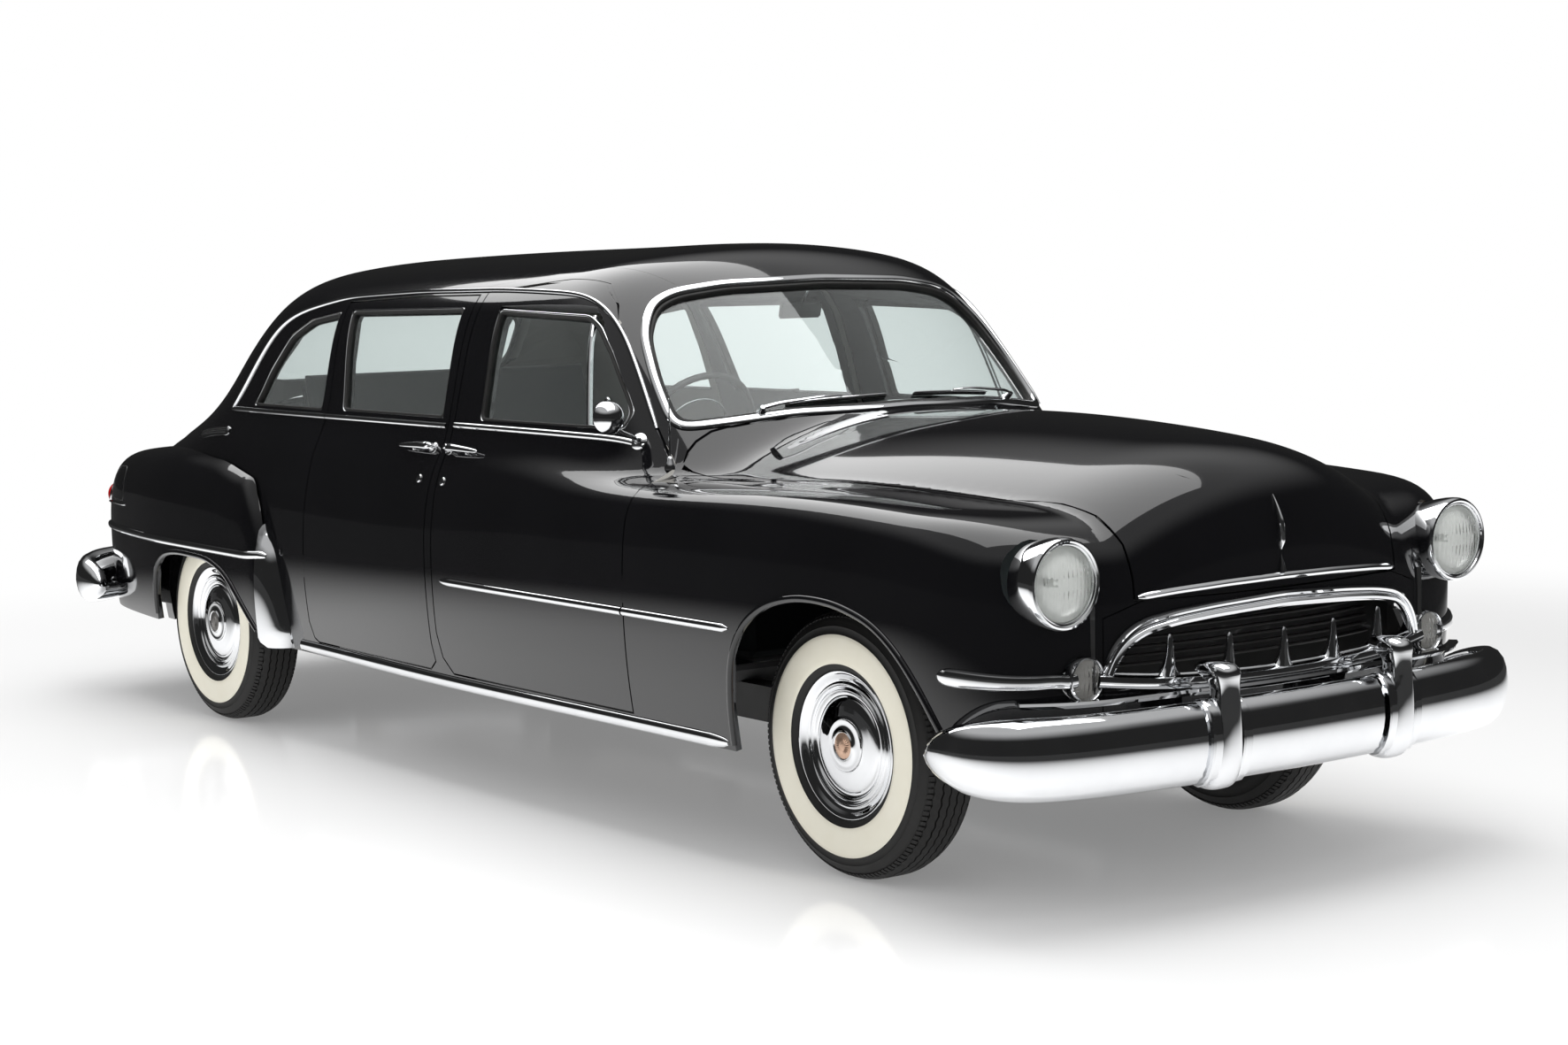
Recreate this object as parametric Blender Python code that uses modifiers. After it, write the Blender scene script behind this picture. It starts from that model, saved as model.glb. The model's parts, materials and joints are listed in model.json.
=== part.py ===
"""A long-wheelbase, eight-passenger limousine of the early fifties, built as an assembly of named pieces.

Units are metres. +X is the front of the car, +Y its left side and +Z up. The ground is Z = 0, and the
origin is on the ground under the middle of the overall box.

The painted body follows one formula, skin(), that blends a few short tables of widths and heights. Every
panel is a piece of that skin with its real thickness, so neighbours stay flush. Pieces of the right side
(-Y) are modelled and the left ones are their mirror images.
"""

import math

import bmesh
import bpy
import numpy as np
from mathutils import Matrix, Vector

# ---------------------------------------------------------------- driving sizes

LENGTH = 6.05  # over the bumper guards
WHEELBASE = 3.696
FRONT_AXLE_X = 2.0
REAR_AXLE_X = FRONT_AXLE_X - WHEELBASE
FRONT_TRACK = 1.450
REAR_TRACK = 1.700

TYRE_RADIUS = 0.378
TYRE_WIDTH = 0.206
RIM_RADIUS = 0.200
TYRE_STEPS, WHEEL_STEPS = 32, 24

SEAT_GAP = 0.0003  # between pieces that touch
PANEL_GAP = 0.006  # between a door or the hood and what it closes against
LID_GAP = 0.007  # round the trunk lid
SEAM = 0.003  # between two fixed body panels
RUNNING_GAP = 0.0005  # between a pin or hub and what turns on it

FENDER_WALL = 0.020
LID_WALL = 0.020
DOOR_WALL = 0.080
PILLAR_WALL = 0.045
TAIL_WALL = 0.025
GLASS_THICKNESS = 0.006
GLASS_INSET = 0.014  # from the outer skin to the glass

SILL_Z = 0.340
DOOR_BOTTOM_Z = 0.392
CABIN_FLOOR_Z = 0.430
BELT_Z = 1.206  # the side windows' lower edge
ROOF_Z = 1.766
BEAM_Z = 0.760  # height at which the body is widest
BEAM_HALF = 1.005  # half the width between the doors' outer skins

FRONT_DOOR_BACK_X = 0.088
REAR_DOOR_FRONT_X = 0.034
REAR_DOOR_BACK_X = -0.873
QUARTER_BACK_X = -2.200
COWL_X = 1.200  # the front doors' front edge

LAMP_X, LAMP_Y, LAMP_Z = 2.830, 0.753, 0.893
LAMP_RADIUS = 0.118
LAMP_BUCKET = 0.100  # radius of the part that sits in the fender
POD_Y, POD_Z, POD_RADIUS = 0.660, 0.638, 0.056

MIRROR_X, MIRROR_Y, MIRROR_Z = 1.042, 0.932, 1.255
RAIL_Y = 0.430  # the frame's rails
FRONT_RAIL_Y = 0.3103  # its narrower front, between the steered wheels
KINGPIN_Y = 0.560
KINGPIN_RADIUS = 0.022
PIN_SIDES = 24
LAMP_SIDES = 24
KINGPIN_REACH = 0.090  # above and below the axle's height
DRUM_RADIUS, DRUM_WIDTH, DRUM_SIDES = 0.125, 0.050, 20
SPINDLE_RADIUS = 0.026
AXLE_TUBE_RADIUS = 0.042

FUEL_TANK_TOP_Z = 0.602  # the trunk floor's underside
FLOOR_PLATE = 0.018
BULKHEAD_X = 1.10  # the back of the wall between the engine and the cabin
MAT_RISE = 0.006  # the rear floor mat over the floor
COWL_HALF = 0.655  # half the width of the cowl panel
FRONT_X, BACK_X = 3.3, -3.3  # past both ends of the car, for cutters
SIDE_Y = 1.3  # past the car's side, for cutters

RIGHT = -1
LEFT = 1

HINGE_Z = 0.75
# a place on each hinge's axis: the right doors' are upright, the hood's and the lid's run across the car
HINGES = {
    "front": (COWL_X - 0.003, -1.003, HINGE_Z),
    "rear": (REAR_DOOR_BACK_X + 0.003, -0.982, HINGE_Z),
    "hood": (FRONT_AXLE_X - 1.0, 0.0, 1.240),
    "lid": (-2.275, 0.0, 1.195),
}

# ---------------------------------------------------------------- smooth tables


def spline(rows):
    """The natural cubic through (place, value) rows, as a function that is level past both ends."""
    place, value = np.array(sorted(rows), float).T
    step = np.diff(place)
    rise = np.diff(value) / step
    system = np.eye(len(place))
    bend = np.zeros(len(place))
    for i in range(1, len(place) - 1):
        system[i, i - 1 : i + 2] = step[i - 1], 2 * (step[i - 1] + step[i]), step[i]
        bend[i] = 6 * (rise[i] - rise[i - 1])
    bend = np.linalg.solve(system, bend)

    def at(x):
        x = np.clip(x, place[0], place[-1])
        i = np.clip(np.searchsorted(place, x) - 1, 0, len(step) - 1)
        a, b, h = place[i + 1] - x, x - place[i], step[i]
        curved = (bend[i] * a**3 + bend[i + 1] * b**3) / (6 * h)
        return curved + (value[i] / h - bend[i] * h / 6) * a + (value[i + 1] / h - bend[i + 1] * h / 6) * b

    return at


def smooth_max(a, b, reach):
    """The larger of a and b, rounded where they are within reach of each other."""
    near = np.maximum(reach - np.abs(a - b), 0) / reach
    return np.maximum(a, b) + near**3 * reach / 6


def smooth_min(a, b, reach):
    return -smooth_max(-a, -b, reach)


# ---------------------------------------------------------------- the body's skin

F, R = FRONT_AXLE_X, REAR_AXLE_X  # the tables below are drawn from the two axles
DRAWN_ROOF = 0.560  # the roof's height over the belt in the tables, before they are stretched to ROOF_Z
STRETCH = (ROOF_Z - BELT_Z) / DRAWN_ROOF


def lifted(z):
    """A drawn height over the belt, stretched with the roof."""
    return np.where(z > BELT_Z, BELT_Z + (z - BELT_Z) * STRETCH, z)


def raised(rows):
    return [(place, float(lifted(z))) for place, z in rows]


ROOF_SEAM_Z = float(lifted(1.640))

# (x, half width at beam height)
BEAM = spline([
    (R - 1.30, 0.86), (R - 0.80, 0.915), (R - 0.30, 0.950), (R + 0.30, 0.968), (REAR_DOOR_BACK_X, 0.980),
    (REAR_DOOR_FRONT_X, BEAM_HALF), (COWL_X, BEAM_HALF - 0.002), (F, 0.997), (F + 0.35, 0.987),
    (F + 0.60, 0.967), (F + 0.85, 0.925),
])
# (x, height of the fender crests, the doors' shoulder and the trunk's sides)
SHELF = spline([
    (R - 1.20, 0.82), (R - 1.00, 0.87), (R - 0.69, 0.97), (R - 0.40, 1.06), (R - 0.10, 1.10),
    (R + 0.50, 1.11),
    (0.0, 1.108), (0.70, 1.098), (F - 0.80, 1.074), (F - 0.50, 1.076), (F, 1.081), (F + 0.30, 1.071),
    (F + 0.55, 1.057), (F + 0.85, 1.038),
])
# (x, height of the hood and the trunk lid along the middle)
CROWN = spline([
    (R - 1.35, 0.74), (R - 1.15, 0.96), (R - 1.00, 1.055), (R - 0.80, 1.140), (R - 0.55, 1.195),
    (R - 0.30, 1.215),
    (R + 0.30, 1.15), (0.0, 1.12), (F - 1.0, 1.15), (F - 0.70, 1.238), (F - 0.50, 1.252),
    (F - 0.18, 1.258), (F + 0.27, 1.242),
    (F + 0.60, 1.213), (F + 0.78, 1.188), (F + 0.95, 1.160),
])
# (x, half width of the hood or of the trunk's crowned part)
CROWN_HALF = spline([
    (R - 1.3, 0.88), (R, 0.92), (0.0, 0.90), (F - 1.0, 0.765), (F - 0.80, 0.735), (F - 0.60, 0.690),
    (F - 0.28, 0.648), (F + 0.10, 0.620), (F + 0.34, 0.598), (F + 0.55, 0.570), (F + 0.72, 0.535),
    (F + 0.95, 0.48),
])
# (x, half width of the hood between its side seams)
HOOD_HALF = spline([(F - 0.90, 0.785), (F - 0.80, 0.762), (F - 0.68, 0.722), (F - 0.54, 0.690),
                    (F - 0.28, 0.650),
                    (F + 0.10, 0.620), (F + 0.34, 0.598), (F + 0.55, 0.570), (F + 0.72, 0.535),
                    (F + 0.95, 0.48)])
# (x, how far the shoulder is rounded)
SHOULDER = spline([(R - 1.0, 0.34), (REAR_DOOR_BACK_X, 0.42), (0.0, 0.34), (COWL_X, 0.20), (F, 0.18),
                   (F + 0.8, 0.22)])
# (x, half width of the roof's sides at shoulder height)
ROOF_HALF = spline([(R - 0.50, 0.76), (R - 0.20, 0.83), (R + 0.20, 0.866), (-0.90, 0.885), (0.0, 0.890),
                    (0.60, 0.886), (0.95, 0.862), (1.25, 0.822)])
# (x, how far the roof's foot is blended into the shoulder)
FOOT = spline([(R - 0.5, 0.22), (REAR_DOOR_BACK_X, 0.20), (0.0, 0.14), (COWL_X, 0.08)])
# (x, drawn height of the roof along the middle)
ROOF = spline([(R - 0.55, 1.56), (R - 0.10, 1.690), (R + 0.38, 1.734), (-0.36, 1.758), (0.20, 1.766),
               (0.70, 1.763),
               (1.00, 1.731)])

ROOF_LEAN = 0.25  # how much narrower the roof gets with each metre of height
ROOF_FOOT_Z = 1.050  # the roof's sides turn in again under this height, inside the body
ROOF_HALF_Z = 1.168  # the height at which ROOF_HALF is the roof's half width
NOSE_X = 2.866
TAIL_X = LENGTH / 2 - 0.110
SCREEN_FOOT_X, SCREEN_FOOT_Z = 1.334, 1.253
SCREEN_SLOPE = 1.12
BACK_FOOT_X, BACK_FOOT_Z = R - 0.52, 1.215
BACK_SLOPE = 1.05


def lower_skin(x, y, z):
    """Below zero inside the body under the windows, and about the distance to its surface near it."""
    y = np.abs(y)
    side = y - BEAM(x) + np.where(z > BEAM_Z, 0.30, 0.22) * (z - BEAM_Z) ** 2
    crown_half = CROWN_HALF(x)
    bulge = (CROWN(x) - SHELF(x)) * (1 - (y / crown_half) ** 2.2)
    top = z - SHELF(x) - smooth_max(bulge, 0 * x, 0.03)
    lean = np.where(z > 0.86, 0.20, 0.0) * (z - 0.86) ** 2 + np.where(z < 0.60, 0.8, 0.0) * (z - 0.60) ** 2
    nose = x - NOSE_X + 0.09 * (y / LAMP_Y) ** 2 + lean
    tail = -x - TAIL_X + 0.14 * (y / LAMP_Y) ** 2 + 0.5 * (z - 0.62) ** 2
    body = smooth_max(side, top, SHOULDER(x))
    body = smooth_max(body, nose, 0.34)
    return smooth_max(body, tail, 0.46)


def roof_skin(x, y, z):
    y = np.abs(y)
    z = np.where(z > BELT_Z, BELT_Z + (z - BELT_Z) / STRETCH, z)
    climb = np.hypot(z - ROOF_FOOT_Z, 0.03) - (ROOF_HALF_Z - ROOF_FOOT_Z)
    side = 0.97 * (y - ROOF_HALF(x) + ROOF_LEAN * climb)
    top = z - ROOF(x) + 0.16 * y**2
    bow = 0.493 - 0.375 * (z - BELT_Z)
    screen = 0.67 * (x - SCREEN_FOOT_X + SCREEN_SLOPE * (z - SCREEN_FOOT_Z) + bow * y**2)
    back = 0.69 * (-x + BACK_FOOT_X + BACK_SLOPE * (z - BACK_FOOT_Z) + 0.42 * y**2)
    shell = smooth_max(side, top, 0.30)
    shell = smooth_max(shell, screen, 0.17)
    return smooth_max(shell, back, 0.34)


def skin(x, y, z):
    return smooth_min(lower_skin(x, y, z), roof_skin(x, y, z), FOOT(x))


# (x, height of the rear fender's crest) and (x, half width over the rear fenders)
CREST = spline([
    (R - 1.28, 0.70), (R - 1.22, 0.86), (R - 1.14, 0.935), (R - 1.03, 0.968), (R - 0.81, 1.000),
    (R - 0.47, 1.027),
    (R - 0.15, 1.037), (R + 0.08, 1.030), (R + 0.23, 1.018), (R + 0.37, 0.992), (R + 0.47, 0.935),
    (R + 0.54, 0.78),
])
REAR_WHEEL_Y = REAR_TRACK / 2
FENDER_HALF = spline([(R - 1.25, REAR_WHEEL_Y + 0.070), (R - 0.9, REAR_WHEEL_Y + 0.112),
                      (R - 0.4, REAR_WHEEL_Y + 0.178),
                      (R + 0.1, REAR_WHEEL_Y + 0.192), (R + 0.6, REAR_WHEEL_Y + 0.185)])
FENDER_FRONT_X = R + 0.655
FENDER_BACK_X = R - 1.195


def fender_skin(x, y, z):
    """The rear fender, a pontoon that stands out from the body's side."""
    y = np.abs(y)
    side = y - FENDER_HALF(x) + 0.20 * (z - 0.68) ** 2
    top = z - CREST(x) + 0.5 * (y - REAR_WHEEL_Y - 0.05) ** 2
    front = x - FENDER_FRONT_X + 0.14 * np.maximum(z - 0.40, 0)
    back = -x + FENDER_BACK_X + 0.25 * (z - 0.66) ** 2 + 0.9 * np.maximum(y - REAR_WHEEL_Y + 0.25, 0) ** 2
    back = back + 10 * np.maximum(REAR_WHEEL_Y - 0.07 - y, 0) ** 2
    body = smooth_max(side, top, 0.26)
    body = smooth_max(body, front, 0.16)
    return smooth_max(body, back, 0.40)


def cast(field, origins, directions, reach=1.6):
    """Where rays that start inside the field leave it."""
    low = np.zeros(origins.shape[:-1])
    high = np.full(origins.shape[:-1], reach)
    for _ in range(40):
        middle = (low + high) / 2
        point = origins + directions * middle[..., None]
        inside = field(point[..., 0], point[..., 1], point[..., 2]) < 0
        low = np.where(inside, middle, low)
        high = np.where(inside, high, middle)
    return origins + directions * high[..., None]


def normals(field, points, step=1e-4):
    """Unit vectors out of the field at points on it."""
    slopes = []
    for axis in np.eye(3) * step:
        ahead, behind = points + axis, points - axis
        slopes.append(field(*np.moveaxis(ahead, -1, 0)) - field(*np.moveaxis(behind, -1, 0)))
    slope = np.stack(slopes, axis=-1)
    return slope / np.linalg.norm(slope, axis=-1, keepdims=True)


# ---------------------------------------------------------------- modelling helpers

PARTS = None
CUTTERS = None


def start_scene():
    """Empties the scene and makes the two collections."""
    global PARTS, CUTTERS
    for thing in list(bpy.data.objects):
        bpy.data.objects.remove(thing, do_unlink=True)
    PARTS = bpy.data.collections.new("limousine")
    CUTTERS = bpy.data.collections.new("cutters")
    for group in (PARTS, CUTTERS):
        bpy.context.scene.collection.children.link(group)


# slot: (colour, roughness, metallic)
PAINTS = {
    "black_paint": ((0.006, 0.006, 0.007), 0.05, 0.0),
    "chrome": ((0.86, 0.87, 0.88), 0.08, 1.0),
    "glass": ((0.72, 0.80, 0.78), 0.03, 0.0),
    "lamp_glass": ((0.85, 0.86, 0.85), 0.06, 0.0),
    "red_glass": ((0.45, 0.02, 0.02), 0.08, 0.0),
    "tyre": ((0.022, 0.022, 0.023), 0.75, 0.0),
    "chassis": ((0.015, 0.015, 0.016), 0.50, 0.3),
    "engine": ((0.16, 0.18, 0.18), 0.45, 0.5),
    "upholstery": ((0.09, 0.09, 0.10), 0.90, 0.0),
    "trim": ((0.05, 0.05, 0.055), 0.50, 0.0),
    "steel": ((0.35, 0.35, 0.36), 0.45, 1.0),
}


def material(slot):
    found = bpy.data.materials.get(slot)
    if found:
        return found
    colour, roughness, metallic = PAINTS[slot]
    made = bpy.data.materials.new(slot)
    made.use_nodes = True
    shader = made.node_tree.nodes["Principled BSDF"]
    shader.inputs["Base Color"].default_value = (*colour, 1)
    shader.inputs["Roughness"].default_value = roughness
    shader.inputs["Metallic"].default_value = metallic
    return made


def add_object(name, mesh, group=None):
    made = bpy.data.objects.new(name, mesh)
    (group or CUTTERS).objects.link(made)
    return made


def tidy_mesh(mesh, merge=1e-6):
    """Welds doubled points and turns every face out."""
    shape = bmesh.new()
    shape.from_mesh(mesh)
    bmesh.ops.remove_doubles(shape, verts=shape.verts, dist=merge)
    bmesh.ops.recalc_face_normals(shape, faces=shape.faces)
    shape.to_mesh(mesh)
    shape.free()


def baked(thing):
    """The object with its modifiers applied and its place moved into its mesh."""
    graph = bpy.context.evaluated_depsgraph_get()
    graph.update()
    mesh = bpy.data.meshes.new_from_object(thing.evaluated_get(graph))
    mesh.transform(thing.matrix_world)
    made = add_object(thing.name + "_baked", mesh)
    bpy.data.objects.remove(thing, do_unlink=True)
    return made


def combine(thing, others, operation):
    """A Boolean of the object with each of the others, which it uses up. EXACT loses most of a thin body plate
    here, so the solver is MANIFOLD."""
    for other in others:
        step = thing.modifiers.new("step", "BOOLEAN")
        step.operation = operation
        step.object = other
        step.solver = "MANIFOLD"
        thing = baked(thing)
        bpy.data.objects.remove(other, do_unlink=True)
    return thing


def cut(thing, *cutters):
    return combine(thing, cutters, "DIFFERENCE")


def join(thing, *others):
    return combine(thing, others, "UNION")


def keep_inside(thing, *others):
    return combine(thing, others, "INTERSECT")


def copy_of(thing):
    made = add_object(thing.name + "_copy", thing.data.copy())
    made.data.transform(thing.matrix_basis)
    return made


def mirrored(thing):
    """A copy on the other side of the car."""
    made = copy_of(thing)
    made.data.transform(Matrix.Scale(-1, 4, (0, 1, 0)))
    made.data.flip_normals()
    return made


def both_sides(thing):
    """The right piece and its mirror image on the left."""
    return {RIGHT: thing, LEFT: mirrored(thing)}


SIDE_NAMES = {RIGHT: "right", LEFT: "left"}


def publish(thing, name, slot, pivot=(0, 0, 0)):
    """Makes the object a named piece of the limousine, with its origin on the pivot that it turns about."""
    thing.data.transform(Matrix.Translation(-Vector(pivot)))
    thing.location = pivot
    thing.data.shade_smooth()
    thing.data.set_sharp_from_angle(angle=math.radians(35))
    for group in list(thing.users_collection):
        group.objects.unlink(thing)
    PARTS.objects.link(thing)
    thing.name = name
    thing.data.materials.clear()
    thing.data.materials.append(material(slot))
    return thing


def publish_pair(thing, name, slot, pivot=(0, 0, 0)):
    """The right piece and its mirror image. The pivot is the right one's."""
    for side, piece in both_sides(thing).items():
        publish(piece, f"{name}_{SIDE_NAMES[side]}", slot, (pivot[0], -side * pivot[1], pivot[2]))


def box(low, high, bevel=0.0):
    """A block between two corners, with its edges rounded if bevel is given."""
    shape = bmesh.new()
    bmesh.ops.create_cube(shape, size=1)
    size = np.subtract(high, low)
    middle = np.add(high, low) / 2
    bmesh.ops.scale(shape, vec=size, verts=shape.verts)
    bmesh.ops.translate(shape, vec=middle, verts=shape.verts)
    if bevel:
        bmesh.ops.bevel(shape, geom=shape.edges[:], offset=bevel, segments=1, profile=0.5, affect="EDGES")
    mesh = bpy.data.meshes.new("box")
    shape.to_mesh(mesh)
    shape.free()
    return add_object("box", mesh)


def rod(start, end, radius, end_radius=None, sides=14):
    """A cylinder or cone between two points."""
    start, end = Vector(start), Vector(end)
    along = end - start
    shape = bmesh.new()
    bmesh.ops.create_cone(shape, cap_ends=True, segments=sides, radius1=radius,
                          radius2=radius if end_radius is None else end_radius, depth=along.length)
    turn = Vector((0, 0, 1)).rotation_difference(along).to_matrix().to_4x4()
    bmesh.ops.transform(shape, matrix=Matrix.Translation((start + end) / 2) @ turn, verts=shape.verts)
    mesh = bpy.data.meshes.new("rod")
    shape.to_mesh(mesh)
    shape.free()
    return add_object("rod", mesh)


def prism(outline, axis, low, high):
    """A flat outline drawn across an axis and pulled from low to high. The outline's columns are the other two
    axes in X, Y, Z order."""
    across = [i for i in range(3) if i != axis]
    shape = bmesh.new()
    corners = []
    for pair in outline:
        place = [0.0, 0.0, 0.0]
        place[axis] = low
        place[across[0]], place[across[1]] = pair
        corners.append(shape.verts.new(place))
    face = shape.faces.new(corners)
    pulled = bmesh.ops.extrude_face_region(shape, geom=[face])
    moved = [item for item in pulled["geom"] if isinstance(item, bmesh.types.BMVert)]
    step = [0.0, 0.0, 0.0]
    step[axis] = high - low
    bmesh.ops.translate(shape, vec=step, verts=moved)
    bmesh.ops.recalc_face_normals(shape, faces=shape.faces)
    mesh = bpy.data.meshes.new("prism")
    shape.to_mesh(mesh)
    shape.free()
    return add_object("prism", mesh)


def turned(profile, steps, closed=False):
    """A profile of (radius, height) rows turned about Z with a Screw modifier."""
    shape = bmesh.new()
    points = [shape.verts.new((radius, 0, height)) for radius, height in profile]
    for a, b in zip(points, points[1:] + points[:1] if closed else points[1:]):
        shape.edges.new((a, b))
    mesh = bpy.data.meshes.new("turned")
    shape.to_mesh(mesh)
    shape.free()
    made = add_object("turned", mesh)
    screw = made.modifiers.new("turn", "SCREW")
    screw.steps = screw.render_steps = steps
    screw.use_merge_vertices = True
    screw.merge_threshold = 1e-5
    made = baked(made)
    tidy_mesh(made.data)
    return made


def placed(thing, place, turn=None):
    """The object moved to a place, after a turn given as (angle, axis letter)."""
    matrix = Matrix.Translation(place)
    if turn:
        matrix = matrix @ Matrix.Rotation(turn[0], 4, turn[1])
    thing.data.transform(matrix)
    return thing


def facing(thing, place, way):
    """The object moved to a place and turned so that its Z points the way given."""
    turn = Vector((0, 0, 1)).rotation_difference(Vector(way)).to_matrix().to_4x4()
    thing.data.transform(Matrix.Translation(place) @ turn)
    return thing


def seat_of(field, origin, way):
    """Where a ray leaves the field, and the way out of it there."""
    place = cast(field, np.array([origin], float), np.array([way], float))
    return place[0], normals(field, place)[0]


def seated(thing, base, out):
    """The object cut back to sit on a published piece, with a hair of space along the way out."""
    return cut(thing, placed(copy_of(bpy.data.objects[base]), out * SEAT_GAP))


def tube(points, radius, smooth=False, closed=False):
    """A round bar along points."""
    curve = bpy.data.curves.new("tube", "CURVE")
    curve.dimensions = "3D"
    curve.bevel_depth = radius
    curve.bevel_resolution = 1
    curve.use_fill_caps = True
    curve.resolution_u = 4
    line = curve.splines.new("NURBS" if smooth else "POLY")
    line.points.add(len(points) - 1)
    for point, place in zip(line.points, points):
        point.co = (*place, 1)
    line.use_cyclic_u = closed
    if smooth:
        line.order_u = 3
        line.use_endpoint_u = not closed
    made = baked(add_object("tube", curve))
    tidy_mesh(made.data, 1e-5)
    return made


def between(outer, inner):
    """A closed plate between two grids of points of the same shape."""
    rows, columns = outer.shape[:2]
    shape = bmesh.new()
    grids = [[[shape.verts.new(point) for point in row] for row in grid] for grid in (outer, inner)]
    for i in range(rows - 1):
        for j in range(columns - 1):
            for side, grid in enumerate(grids):
                corners = [grid[i][j], grid[i + 1][j], grid[i + 1][j + 1], grid[i][j + 1]]
                shape.faces.new(corners if side == 0 else corners[::-1])
    rim = [(i, 0) for i in range(rows)] + [(rows - 1, j) for j in range(1, columns)]
    rim += [(i, columns - 1) for i in range(rows - 2, -1, -1)] + [(0, j) for j in range(columns - 2, 0, -1)]
    for (i, j), (k, m) in zip(rim, rim[1:] + rim[:1]):
        shape.faces.new([grids[0][i][j], grids[1][i][j], grids[1][k][m], grids[0][k][m]])
    bmesh.ops.remove_doubles(shape, verts=shape.verts, dist=1e-6)
    bmesh.ops.recalc_face_normals(shape, faces=shape.faces)
    mesh = bpy.data.meshes.new("plate")
    shape.to_mesh(mesh)
    shape.free()
    return add_object("plate", mesh)


def skin_plate(field, origins, directions, outside, inside):
    """The surface of a field along rays, as a plate that reaches outside and inside it by distances."""
    surface = cast(field, origins, directions)
    out = normals(field, surface)
    inside = np.broadcast_to(np.asarray(inside, float), surface.shape[:2])[..., None]
    return between(surface + out * outside, surface - out * inside)


def sweep(path, section):
    """A closed section of (across, up) rows carried along a path of (x, y, z) rows, square to it in plan."""
    path = np.asarray(path, float)
    ahead = np.gradient(path, axis=0)
    ahead[:, 2] = 0
    ahead /= np.linalg.norm(ahead, axis=1, keepdims=True)
    across = np.stack([ahead[:, 1], -ahead[:, 0], 0 * ahead[:, 0]], axis=1)
    sections = np.asarray(section, float)
    if sections.ndim == 2:
        sections = np.broadcast_to(sections, (len(path), *sections.shape))
    shape = bmesh.new()
    rings = []
    for place, side, rows in zip(path, across, sections):
        rings.append([shape.verts.new(place + side * a + np.array([0, 0, b])) for a, b in rows])
    for one, two in zip(rings, rings[1:]):
        for j in range(len(one)):
            k = (j + 1) % len(one)
            shape.faces.new([one[j], one[k], two[k], two[j]])
    shape.faces.new(rings[0][::-1])
    shape.faces.new(rings[-1])
    bmesh.ops.recalc_face_normals(shape, faces=shape.faces)
    mesh = bpy.data.meshes.new("sweep")
    shape.to_mesh(mesh)
    shape.free()
    return add_object("sweep", mesh)


# ---------------------------------------------------------------- rays for each stretch of body

CABIN_CORE_Z = 0.76
FENDER_CORE_Y, FENDER_CORE_Z = 0.60, 0.80
FENDER_TURN_X = F + 0.36
TAIL_CORE_Z = 0.66


def fan(core, levels, tilts, yaws):
    """Rays out of an upright line at core (x, y, top z): level ones at the heights given, then tilted up by
    the angles given, at each yaw from +Y towards -X. Angles are in degrees."""
    origins, directions = [], []
    for tilt, height in [(0, level) for level in levels] + [(tilt, core[2]) for tilt in tilts]:
        tilt = math.radians(tilt)
        row_from, row_to = [], []
        for x, yaw in yaws:
            yaw = math.radians(yaw)
            row_from.append((x, core[1], height))
            row_to.append((-math.sin(yaw) * math.cos(tilt), math.cos(yaw) * math.cos(tilt), math.sin(tilt)))
        origins.append(row_from)
        directions.append(row_to)
    return np.array(origins), np.array(directions)


def to_right(rays):
    """The same rays on the car's right side."""
    flip = np.array([1, -1, 1])
    return rays[0] * flip, rays[1] * flip


def cabin_plate():
    """The right half of the body between the cowl and the quarter's end, from sill to roof centre."""
    stations = np.concatenate([np.linspace(QUARTER_BACK_X, -0.9, 6), [0.0], np.linspace(0.8, 1.43, 7)])
    levels = [SILL_Z, 0.50]
    tilts = [0, 12, 20, 28, 37, 45, 50, 55, 64, 77, 90]
    rays = to_right(fan((0, 0, CABIN_CORE_Z), levels, tilts, [(x, 0) for x in stations]))
    surface = cast(skin, *rays)
    low, high = 0.98, 1.18
    share = np.clip((surface[..., 2] - low) / (high - low), 0, 1)
    wall = DOOR_WALL + (PILLAR_WALL - DOOR_WALL) * share
    out = normals(skin, surface)
    inner = surface - out * wall[..., None]
    surface[-1, :, 1] = inner[-1, :, 1] = 0.02
    return between(surface, inner)


# ---------------------------------------------------------------- outlines in side view, (x, z)

FRONT_DOOR = raised([
    (0.165, DOOR_BOTTOM_Z), (COWL_X, DOOR_BOTTOM_Z), (COWL_X, 1.042), (COWL_X - 0.032, 1.100),
    (1.066, 1.212),
    (0.944, 1.361), (0.828, 1.494), (0.742, 1.566), (0.655, 1.598), (0.480, 1.610),
    (FRONT_DOOR_BACK_X - 0.045, 1.618),
    (FRONT_DOOR_BACK_X - 0.036, 1.190), (FRONT_DOOR_BACK_X, 0.920), (FRONT_DOOR_BACK_X, 0.520),
    (0.110, 0.440),
])
REAR_DOOR = raised([
    (-0.820, DOOR_BOTTOM_Z), (0.012, DOOR_BOTTOM_Z), (0.050, 0.420), (REAR_DOOR_FRONT_X + 0.004, 0.480),
    (REAR_DOOR_FRONT_X, 0.900), (REAR_DOOR_FRONT_X - 0.022, 1.190), (REAR_DOOR_FRONT_X - 0.040, 1.610),
    (-0.400, 1.603),
    (-0.885, 1.582), (-0.835, 1.190), (-0.858, 0.780), (REAR_DOOR_BACK_X, 0.600),
    (REAR_DOOR_BACK_X, 0.460), (-0.850, 0.405),
])
FRONT_WINDOW = raised([(0.206, 1.212), (0.975, 1.212), (0.985, 1.262), (0.945, 1.314), (0.834, 1.442),
                       (0.752, 1.520),
                (0.690, 1.552), (0.172, 1.568)])
REAR_WINDOW = raised([(-0.734, 1.212), (-0.030, 1.212), (-0.058, 1.573), (-0.838, 1.560)])
QUARTER_WINDOW = raised([(-1.455, 1.207), (-0.888, 1.207), (-0.920, 1.553), (-1.128, 1.526),
                         (-1.262, 1.465), (-1.380, 1.333)])
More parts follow.
